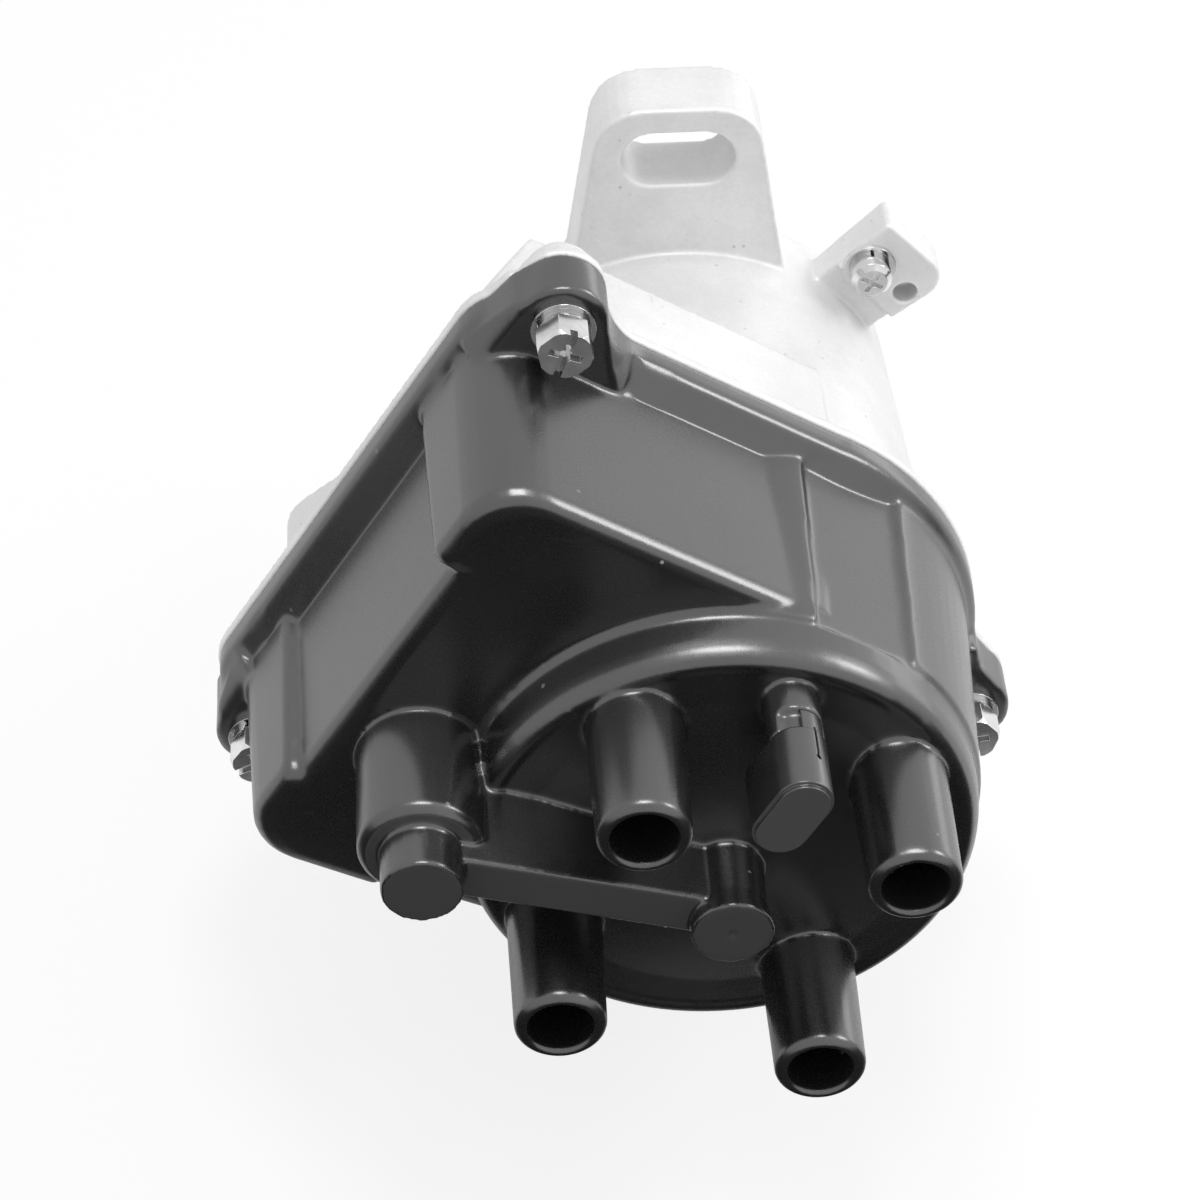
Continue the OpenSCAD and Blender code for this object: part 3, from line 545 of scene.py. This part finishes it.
def points_of(mesh):
    """A mesh's points, as an array of X, Y and Z."""
    flat = np.empty(len(mesh.vertices) * 3, dtype=np.float32)
    mesh.vertices.foreach_get("co", flat)
    return flat.reshape(-1, 3)


def hump_points(points):
    """U and V of points, in the turned frame."""
    c, s = math.cos(HUMP_TURN), math.sin(HUMP_TURN)
    return points[:, 0] * c + points[:, 2] * s, points[:, 2] * c - points[:, 0] * s


def outside(u, v, outline):
    """Distance of points outside an outline, 0 inside."""
    inside = np.zeros(len(u), dtype=bool)
    nearest = np.full(len(u), 1.0, dtype=np.float32)
    for (u0, v0), (u1, v1) in zip(outline, outline[1:] + outline[:1]):
        run_u, run_v = u1 - u0, v1 - v0
        along = ((u - u0) * run_u + (v - v0) * run_v) / (run_u ** 2 + run_v ** 2)
        along = np.clip(along, 0, 1)
        nearest = np.minimum(nearest, np.hypot(u - u0 - along * run_u, v - v0 - along * run_v))
        crosses = (v0 > v) != (v1 > v)
        with np.errstate(divide="ignore", invalid="ignore"):
            inside ^= crosses & (u < run_u * (v - v0) / run_v + u0)
    return np.where(inside, 0.0, nearest)


def rim_depth(u, v):
    """How far points lie inside the rim's outline."""
    past_u = np.abs(u - RIM_BOX_MIDDLE[0]) - RIM_BOX_HALF[0] + RIM_BOX_CORNER
    past_v = np.abs(v - RIM_BOX_MIDDLE[1]) - RIM_BOX_HALF[1] + RIM_BOX_CORNER
    round_part = np.hypot(np.maximum(past_u, 0), np.maximum(past_v, 0))
    flat_part = np.minimum(np.maximum(past_u, past_v), 0)
    in_box = RIM_BOX_CORNER - round_part - flat_part
    return np.maximum(RIM_DISC_RADIUS - np.hypot(u, v), in_box)


def soft_step(values, start, width):
    """0 up to the start, 1 from start + width on, with a smooth step between."""
    part = np.clip((values - start) / width, 0, 1)
    return part * part * (3 - 2 * part)


def band(values, middle, half, soft):
    """1 within half of the middle, which falls to 0 over a soft border."""
    return 1 - soft_step(np.abs(values - middle), half, soft)


def between(values, low, high):
    return (values > low) & (values < high)


def shape_cap(obj):
    """Slopes the rim and the upper lugs, and marks the faint steps that get extra smoothing."""
    mesh = obj.data
    points = points_of(mesh)
    u, v = hump_points(points)
    y = points[:, 1].copy()
    depth = rim_depth(u, v)

    slope = RIM_Y - 0.0001 - RIM_SLOPE * (depth - RIM_EDGE)
    on_rim = between(depth, RIM_EDGE, RIM_WALL) & between(y, LUG_Y + 0.0002, RIM_Y + 0.0004)
    y[on_rim] = np.minimum(y[on_rim], np.maximum(slope[on_rim], RIM_FRONT_Y))

    # what the webs run out on: the flange outside the rim, the rim's rounded edge, its slope
    edge = RIM_Y + 0.0004 - 0.625 * (depth - RIM_ROUNDING)
    edge = np.where(depth > RIM_ROUNDING, edge, RIM_Y + 0.0014)
    ground = np.where(depth > -RIM_ROUNDING, edge, JOINT_Y - 0.0012)
    ground = np.where(depth > RIM_EDGE, np.minimum(slope, RIM_Y), ground)
    strips = np.zeros(len(y), dtype=np.float32)
    for mirror in (False, True):
        side = (-u if mirror else u) > 0.028
        near = side & (v > 0.034) & between(y, LUG_Y - 0.0007, JOINT_Y - 0.0005)
        away = np.zeros(len(y))
        away[near] = outside(u[near], v[near], in_metres(LUG_FACE, mirror))
        limit = np.minimum(LUG_Y + WEB_SLOPE * np.maximum(away - 0.0002, 0), ground)
        y[near] = np.maximum(y[near], limit[near])
        strips[near & between(away, 0.0, 0.006)] = 0.5
    points[:, 1] = y
    mesh.vertices.foreach_set("co", points.ravel())

    front = y < RIM_Y - 0.0025
    blocks = between(y, -0.1035, LUG_Y + 0.0005)
    weights = (
        # the rim's slope, then its edge
        0.5 * ((depth < 0.0062) & between(y, -0.0750, -0.0685)),
        1.0 * ((depth < 0.0028) & between(y, -0.0725, -0.0680)),
        # the steps between blocks in the wall at +U, below and above, and in the wall at +V
        front * (u > 0.030) * band(v, -0.0096, 0.0022, 0.0015),
        blocks * (u > 0.036) * band(v, 0.0097, 0.0022, 0.0010),
        front * (v > 0.055) * band(u, -0.0252, 0.0016, 0.0014) * 0.7,
    )
    for weight in weights:
        strips = np.maximum(strips, weight)
    # groups hold one weight a call, so the weights are set in four levels
    group = obj.vertex_groups.new(name="strips")
    for level in (0.25, 0.5, 0.75, 1.0):
        chosen = np.nonzero((strips > level - 0.25) & (strips <= level))[0]
        group.add(chosen.tolist(), level, "REPLACE")


def moulded(name, node, voxel, passes, fillers=(), shaper=None):
    """A CAD solid with its fillers added, and its edges softened as a mould leaves them."""
    shape = merged_copy(node)
    for rings, mirror in fillers:
        add_loft(shape, rings, mirror)
    obj = piece(name, shape)
    remesh = obj.modifiers.new("Remesh", "REMESH")
    remesh.mode = "VOXEL"
    remesh.voxel_size = voxel
    if shaper:
        settle(obj)
        shaper(obj)
        strips = obj.modifiers.new("Strips", "SMOOTH")
        strips.factor = 0.5
        strips.iterations = STRIP_PASSES
        strips.vertex_group = "strips"
    smooth = obj.modifiers.new("Smooth", "SMOOTH")
    smooth.factor = 0.5
    smooth.iterations = passes
    settle(obj)
    obj.vertex_groups.clear()
    triangles = sum(len(polygon.vertices) - 2 for polygon in obj.data.polygons)
    if triangles > TRIANGLE_LIMIT:
        fewer = obj.modifiers.new("Decimate", "DECIMATE")
        fewer.ratio = TRIANGLE_LIMIT / triangles
        settle(obj)
    obj.data.polygons.foreach_set("use_smooth", [True] * len(obj.data.polygons))
    return obj


class Form(Bench):
    """A geometry tree with named inputs, which ends in Realize Instances and Set Material."""

    def __init__(self, name):
        super().__init__(bpy.data.node_groups.new(name, "GeometryNodeTree"))
        for way in ("INPUT", "OUTPUT"):
            self.tree.interface.new_socket(
                "Geometry", in_out=way, socket_type="NodeSocketGeometry")
        self.entry = self.tree.nodes.new("NodeGroupInput")
        self.sockets = {}

    def size(self, name, value, kind="Float", subtype="DISTANCE"):
        """A named input: a length by default."""
        socket = self.tree.interface.new_socket(
            name, in_out="INPUT", socket_type="NodeSocket" + kind)
        if kind == "Float":
            socket.subtype = subtype
        if value is not None:
            socket.default_value = value
        self.sockets[name] = socket.identifier
        return Wire(self, self.entry.outputs[name])

    def vector(self, x=0.0, y=0.0, z=0.0):
        return self.node("ShaderNodeCombineXYZ", None, {"X": x, "Y": y, "Z": z})[0]

    def moved(self, geometry, shift=None, turn=None):
        values = {"Geometry": geometry}
        if shift is not None:
            values["Translation"] = shift
        if turn is not None:
            values["Rotation"] = turn
        return self.node("GeometryNodeTransform", None, values)[0]

    def cylinder(self, sides, radius, low, high):
        """A cylinder along Z from low to high."""
        values = {"Vertices": sides, "Radius": radius, "Depth": high - low}
        made = self.node("GeometryNodeMeshCylinder", None, values)[0]
        return self.moved(made, self.vector(z=(low + high) * 0.5))

    def box(self, x, y, z, shift, turn=None):
        """A box whose middle is at the shift."""
        made = self.node("GeometryNodeMeshCube", None, {"Size": self.vector(x, y, z)})[0]
        return self.moved(made, shift, turn)

    def joined(self, operation, *shapes):
        """A boolean of closed meshes; DIFFERENCE takes all the others from the first."""
        made = self.tree.nodes.new("GeometryNodeMeshBoolean")
        made.operation = operation
        made.solver = "EXACT"
        if operation == "DIFFERENCE":
            self.join(shapes[0], made.inputs["Mesh 1"])
            shapes = shapes[1:]
        for shape in shapes:
            self.join(shape, made.inputs["Mesh 2"])
        return Wire(self, made.outputs[0])

    def finished(self, shape, material):
        """Puts the shape on every point, with +Z turned to -Y and the point's own turn."""
        turn = self.node("GeometryNodeInputNamedAttribute", {"data_type": "FLOAT"},
                         {"Name": "turn"})[0]
        values = {"Points": Wire(self, self.entry.outputs["Geometry"]), "Instance": shape,
                  "Rotation": self.vector(math.pi / 2, turn, 0.0)}
        placed = self.node("GeometryNodeInstanceOnPoints", None, values)[0]
        real = self.node("GeometryNodeRealizeInstances", None, {"Geometry": placed})[0]
        values = {"Geometry": real, "Material": material}
        dressed = self.node("GeometryNodeSetMaterial", None, values)[0]
        end = self.tree.nodes.new("NodeGroupOutput")
        self.join(dressed, end.inputs["Geometry"])


def screw_form():
    """Screw with a chamfered head, a cross and a driver slot; the head's seat is at Z = 0."""
    f = Form("Cross slot screw")
    sides = f.size("Head sides", 6, "Int")
    radius = f.size("Head radius", 0.00462)
    height = f.size("Head height", 0.0048)
    crown = f.size("Crown radius", 0.0042)
    foot = f.size("Crown foot radius", 0.0064)
    slot = f.size("Slot length", 0.012)
    arm = f.size("Arm length", 0.0052)
    width = f.size("Slot width", 0.0012)
    depth = f.size("Slot depth", 0.0014)
    shank = f.size("Shank radius", 0.0024)
    reach = f.size("Shank reach", 0.012)
    seat = f.size("Seat height", 0.0023)
    material = f.size("Material", None, "Material")
    top = seat + height
    block = f.cylinder(sides, radius, seat, top)
    values = {"Vertices": 64, "Radius Top": crown, "Radius Bottom": foot, "Depth": height}
    cone = f.node("GeometryNodeMeshCone", None, values)[0]
    head = f.joined("INTERSECT", block, f.moved(cone, f.vector(z=seat)))
    # the cutting boxes lie round the top face, so only half of their height cuts
    lift = f.vector(z=top)
    flat = f.box(slot, width, depth * 2, lift, f.vector(z=math.radians(90)))
    arms = f.box(arm, width, depth * 2.6, lift)
    drill = f.cylinder(24, width * 0.95, top - depth * 1.5, top + depth)
    head = f.joined("DIFFERENCE", head, flat, arms, drill)
    # the shank goes a little way into the head
    rod = f.cylinder(40, shank, -reach, seat + height * 0.2)
    f.finished(f.joined("UNION", head, rod), material)
    return f


def washer_form():
    """Washer between two heights, with an optional slanted split."""
    f = Form("Washer")
    outer = f.size("Outer radius", 0.005)
    inner = f.size("Inner radius", 0.00265)
    low = f.size("Low", 0.0)
    high = f.size("High", 0.001)
    split = f.size("Split", 0.0)
    slant = f.size("Split slant", 0.0, subtype="ANGLE")
    material = f.size("Material", None, "Material")
    disc = f.cylinder(72, outer, low, high)
    # the hole and the cut go past both faces
    past = 0.001
    hole = f.cylinder(72, inner, low - past, high + past)
    middle = f.vector(outer * -0.9, 0.0, (low + high) * 0.5)
    cut = f.box(outer * 1.2, split, 0.02, middle, f.vector(slant, 0.0, 0.0))
    f.finished(f.joined("DIFFERENCE", disc, hole, cut), material)
    return f


def placed_set(name, form, points, values):
    """A mesh of points with their turns, dressed by a tree and made solid."""
    shape = bmesh.new()
    for place, turn in points:
        shape.verts.new(place)
    obj = piece(name, shape)
    turns = obj.data.attributes.new("turn", "FLOAT", "POINT")
    turns.data.foreach_set("value", [math.radians(turn) for place, turn in points])
    modifier = obj.modifiers.new(form.tree.name, "NODES")
    modifier.node_group = form.tree
    for socket, value in values.items():
        modifier[form.sockets[socket]] = value
    return settle(obj)


def finish_piece(obj, material, slot, body, node):
    """Gives a piece its one material, and takes the place of a CAD node."""
    obj.data.materials.clear()
    obj.data.materials.append(material)
    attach(obj, body)
    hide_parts(node)


# ------------------------------------------------------------------ properties


class DistributorLooks(bpy.types.PropertyGroup):
    """Finish settings a user would change."""

    plastic_tone: bpy.props.FloatProperty(
        name="Plastic tone", description="Grey level of the black mouldings",
        default=0.008, min=0.0, max=1.0, subtype="FACTOR")
    plastic_roughness: bpy.props.FloatProperty(
        name="Plastic roughness", description="Roughness of the black mouldings",
        default=0.28, min=0.0, max=1.0, subtype="FACTOR")
    casting_tone: bpy.props.FloatProperty(
        name="Casting tone", description="Grey level of the cast alloy",
        default=0.80, min=0.0, max=1.0, subtype="FACTOR")


class DistributorSizes(bpy.types.PropertyGroup):
    """Sizes of the softened edges."""

    cap_voxel: bpy.props.FloatProperty(
        name="Cap softening", description="Grid size used to soften the cap's edges",
        default=0.0004, min=0.0003, max=0.002, subtype="DISTANCE", unit="LENGTH")
    body_voxel: bpy.props.FloatProperty(
        name="Body softening", description="Grid size used to soften the casting's edges",
        default=0.00042, min=0.0003, max=0.002, subtype="DISTANCE", unit="LENGTH")


class DistributorStudio(bpy.types.PropertyGroup):
    """Brightness of the lamps, where 1 is white."""

    overhead_level: bpy.props.FloatProperty(
        name="Overhead lamp", description="Brightness of the lamp straight above",
        default=8.0, min=0.0)
    right_level: bpy.props.FloatProperty(
        name="Right lamp", description="Brightness of the lamp above right",
        default=7.0, min=0.0)
    low_level: bpy.props.FloatProperty(
        name="Low softbox", description="Brightness of the low panel at the back right",
        default=1.3, min=0.0)
    room_level: bpy.props.FloatProperty(
        name="Room light", description="Level of the even light from all round",
        default=0.45, min=0.0, max=2.0)
    front_level: bpy.props.FloatProperty(
        name="Front light", description="Even light added from the front",
        default=0.55, min=0.0, max=2.0)


# ------------------------------------------------------------------- operators


class DISTRIBUTOR_OT_finishes(bpy.types.Operator):
    """Gives every CAD node the finish of its material slot"""

    bl_idname = "distributor.finishes"
    bl_label = "Finishes"

    def execute(self, context):
        palette = Palette(context.scene.distributor_looks)
        for part in frame["record"]["subparts"]:
            mesh = CAD[part["node"]].data
            mesh.materials.clear()
            mesh.materials.append(palette[part["material_slot"]])
        return {"FINISHED"}


class DISTRIBUTOR_OT_cap(bpy.types.Operator):
    """Makes the moulded cap with softened edges"""

    bl_idname = "distributor.cap"
    bl_label = "Cap"

    def execute(self, context):
        voxel = context.scene.distributor_sizes.cap_voxel
        fillers = [(LUG_FILLET, False), (LUG_FILLET, True), (BLOCK_END, False)]
        cap = moulded("cap_moulding", "distributor_cap", voxel, CAP_PASSES, fillers, shape_cap)
        black = bpy.data.materials["Black moulding"]
        finish_piece(cap, black, "black_moulding", "distributor_body", "distributor_cap")
        return {"FINISHED"}


class DISTRIBUTOR_OT_body(bpy.types.Operator):
    """Makes the cast body with softened edges"""

    bl_idname = "distributor.body"
    bl_label = "Body casting"

    def execute(self, context):
        voxel = context.scene.distributor_sizes.body_voxel
        body = moulded("body_casting", "housing", voxel, CASTING_PASSES)
        alloy = bpy.data.materials["Cast aluminium"]
        finish_piece(body, alloy, "cast_aluminium", "distributor_body", "housing")
        return {"FINISHED"}


class DISTRIBUTOR_OT_fasteners(bpy.types.Operator):
    """Makes the cap and bracket screws with their washers"""

    bl_idname = "distributor.fasteners"
    bl_label = "Fasteners"

    def execute(self, context):
        zinc = bpy.data.materials["Bright zinc"]
        spring = bpy.data.materials["Spring steel"]
        screw, washer = screw_form(), washer_form()
        lugs = [(turned(point) + Vector((0, LUG_Y, 0)), turn)
                for point, turn in zip(LUG_POINTS, LUG_TURNS)]
        bracket = [(Vector((BRACKET_HOLE[0], BRACKET_Y, BRACKET_HOLE[1])), BRACKET_TURN)]
        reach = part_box("cap_screws")[1][1] - LUG_Y
        bracket_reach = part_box("bracket_screw")[1][1] - BRACKET_Y
        split_washer = {"Outer radius": 0.0042, "Inner radius": 0.00265, "Low": 0.001,
                        "High": 0.0023, "Split": 0.0007, "Split slant": 0.6}
        round_screw = {"Head sides": 56, "Head radius": 0.0035, "Head height": 0.0029,
                       "Crown radius": 0.0026, "Crown foot radius": 0.0057,
                       "Slot length": 0.0042, "Arm length": 0.0042, "Slot width": 0.0009,
                       "Slot depth": 0.001, "Shank radius": 0.00195,
                       "Shank reach": bracket_reach, "Seat height": 0.002}
        slots = {part["node"]: part["material_slot"] for part in frame["record"]["subparts"]}
        for name, node, form, points, material, values in (
                ("cap_screw_set", "cap_screws", screw, lugs, zinc, {"Shank reach": reach}),
                ("cap_spring_washer_set", "cap_spring_washers", washer, lugs, spring,
                 split_washer),
                ("cap_flat_washer_set", "cap_flat_washers", washer, lugs, zinc, {}),
                ("bracket_screw_set", "bracket_screw", screw, bracket, zinc, round_screw)):
            obj = placed_set(name, form, points, {"Material": material, **values})
            finish_piece(obj, material, slots[node], "distributor_body", node)
        return {"FINISHED"}


class DISTRIBUTOR_OT_brush_spring(bpy.types.Operator):
    """Makes the carbon brush's spring from its CAD node"""

    bl_idname = "distributor.brush_spring"
    bl_label = "Brush spring"

    def execute(self, context):
        low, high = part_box("brush_spring")
        spring = piece("brush_coil_spring", merged_copy("brush_spring"))
        steel = bpy.data.materials["Spring steel"]
        finish_piece(spring, steel, "spring_steel", "distributor_body", "brush_spring")
        left = 1 - BRUSH_TRAVEL / (high[1] - low[1])
        low[1]
        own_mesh(spring)
        return {"FINISHED"}


class DISTRIBUTOR_OT_stage(bpy.types.Operator):
    """Sets the floor, the lamps, the room and the camera"""

    bl_idname = "distributor.stage"
    bl_label = "Stage"

    def execute(self, context):
        studio = context.scene.distributor_studio
        self.floor()
        self.room(studio)
        aim = (0.0, -0.05, 0.0)
        self.lamp("overhead_lamp", (0.02, -0.05, 0.78), aim, (0.30, 0.30), studio.overhead_level)
        self.lamp("right_lamp", (0.64, 0.02, 0.48), aim, (0.32, 0.22), studio.right_level)
        self.lamp("low_softbox", (0.95, 0.80, 0.10), aim, (1.10, 0.34), studio.low_level)
        self.camera()
        return {"FINISHED"}

    def floor(self):
        shape = bmesh.new()
        bmesh.ops.create_grid(shape, x_segments=2, y_segments=2, size=FLOOR_HALF)
        height = CAD_BOX[0][2] - FLOOR_GAP
        bmesh.ops.translate(shape, verts=shape.verts, vec=(0, 0, height))
        floor = piece("floor", shape)
        f = Finish("White floor", Specular_IOR_Level=0.0, Roughness=0.9)
        f.feed(Base_Color=f.tint(f.noise(300, 2, 0.5), 0.95, 0.97))
        ray = f.node("ShaderNodeLightPath")
        gloss = ray["Is Glossy Ray"]
        # white where it is seen, so that only a faint shadow is left
        seen = (ray["Is Camera Ray"] * 0.8).most(gloss * 0.2).most(ray["Is Transmission Ray"] * 0.8)
        glow = f.node("ShaderNodeEmission", None, {"Color": WHITE, "Strength": 1.0})[0]
        paper = Wire(f, f.shader.outputs[0])
        bright = f.node("ShaderNodeMixShader", None, {0: seen, 1: paper, 2: glow})[0]
        # towards the front its mirror image is a painted shade, dark as paper past the lamps
        # painted shade: a near-black surface that glossy rays see in front of the part
        painted_front_shade = f.node("ShaderNodeBsdfDiffuse", None, {"Color": (0.03, 0.03, 0.03, 1.0)})[0]
        front = (-f.axes(f.place())["Y"]).above(0.10, 0.04)
        mix = f.node("ShaderNodeMixShader", None, {0: gloss * front, 1: bright, 2: painted_front_shade})[0]
        f.join(mix, f.end.inputs["Surface"])
        floor.data.materials.append(f.material)

    def room(self, studio):
        world = bpy.data.worlds.new("Studio")
        bpy.context.scene.world = world
        world.use_nodes = True
        world.node_tree.nodes.clear()
        room = Bench(world.node_tree)
        ray = room.node("ShaderNodeLightPath")
        direct = ray["Is Camera Ray"].most(ray["Is Transmission Ray"])
        # white where it is seen, and dimmer to the left in gloss
        way = room.axes(room.node("ShaderNodeTexCoord")["Generated"])
        gloss = 0.85 + way["X"].above(0.0, 0.6) * 0.15
        seen = (direct + ray["Is Glossy Ray"] * gloss).least(1.0)
        # an even light for the rest, a little stronger from the front
        others = 1 - direct.most(ray["Is Glossy Ray"])
        even = studio.room_level + (-way["Y"]).above(-0.1, 0.6) * studio.front_level
        values = {"Color": WHITE, "Strength": seen + others * even}
        back = room.node("ShaderNodeBackground", None, values)[0]
        end = room.tree.nodes.new("ShaderNodeOutputWorld")
        room.join(back, end.inputs["Surface"])

    def lamp(self, name, place, target, size, level):
        """A soft panel whose face has that brightness, where 1 is white."""
        data = bpy.data.lights.new(name, "AREA")
        data.shape = "RECTANGLE"
        data.size, data.size_y = size
        data.energy = level * math.pi * size[0] * size[1]
        obj = bpy.data.objects.new(name, data)
        aim = (Vector(target) - Vector(place)).to_track_quat("-Z", "Y")
        obj.matrix_world = Matrix.Translation(place) @ aim.to_matrix().to_4x4()
        bpy.context.scene.collection.objects.link(obj)

    def camera(self):
        data = bpy.data.cameras.new("camera")
        data.lens = CAMERA_LENS
        data.sensor_width = CAMERA_SENSOR
        data.clip_start, data.clip_end = CAMERA_CLIP
        obj = bpy.data.objects.new("camera", data)
        right, down = Vector(CAMERA_RIGHT), Vector(CAMERA_DOWN)
        ahead = right.cross(down).normalized()
        turn = Matrix((right.normalized(), -down.normalized(), -ahead)).transposed().to_4x4()
        obj.matrix_world = Matrix.Translation(CAMERA_PLACE) @ turn
        scene = bpy.context.scene
        scene.collection.objects.link(obj)
        scene.camera = obj
        scene.view_settings.view_transform = "Standard"


class DISTRIBUTOR_PT_panel(bpy.types.Panel):
    """Lists the distributor's operators and settings"""

    bl_label = "Ignition distributor"
    bl_idname = "DISTRIBUTOR_PT_panel"
    bl_space_type = "VIEW_3D"
    bl_region_type = "UI"
    bl_category = "Distributor"

    def draw(self, context):
        scene = context.scene
        for group in (scene.distributor_looks, scene.distributor_sizes, scene.distributor_studio):
            for name in group.bl_rna.properties.keys():
                if name not in ("rna_type", "name"):
                    self.layout.prop(group, name)
        for step in STEPS:
            self.layout.operator(step.bl_idname)


GROUPS = (
    (DistributorLooks, "distributor_looks"),
    (DistributorSizes, "distributor_sizes"),
    (DistributorStudio, "distributor_studio"),
)
STEPS = (
    DISTRIBUTOR_OT_finishes,
    DISTRIBUTOR_OT_cap,
    DISTRIBUTOR_OT_body,
    DISTRIBUTOR_OT_fasteners,
    DISTRIBUTOR_OT_brush_spring,
    DISTRIBUTOR_OT_stage,
)


def register():
    for group, name in GROUPS:
        bpy.utils.register_class(group)
        setattr(bpy.types.Scene, name, bpy.props.PointerProperty(type=group))
    for step in STEPS:
        bpy.utils.register_class(step)
    bpy.utils.register_class(DISTRIBUTOR_PT_panel)


def unregister():
    bpy.utils.unregister_class(DISTRIBUTOR_PT_panel)
    for step in reversed(STEPS):
        bpy.utils.unregister_class(step)
    for group, name in reversed(GROUPS):
        delattr(bpy.types.Scene, name)
        bpy.utils.unregister_class(group)


def main():
    register()
    for step in STEPS:
        group, name = step.bl_idname.split(".")
        getattr(getattr(bpy.ops, group), name)()


if __name__ == "__main__":
    main()
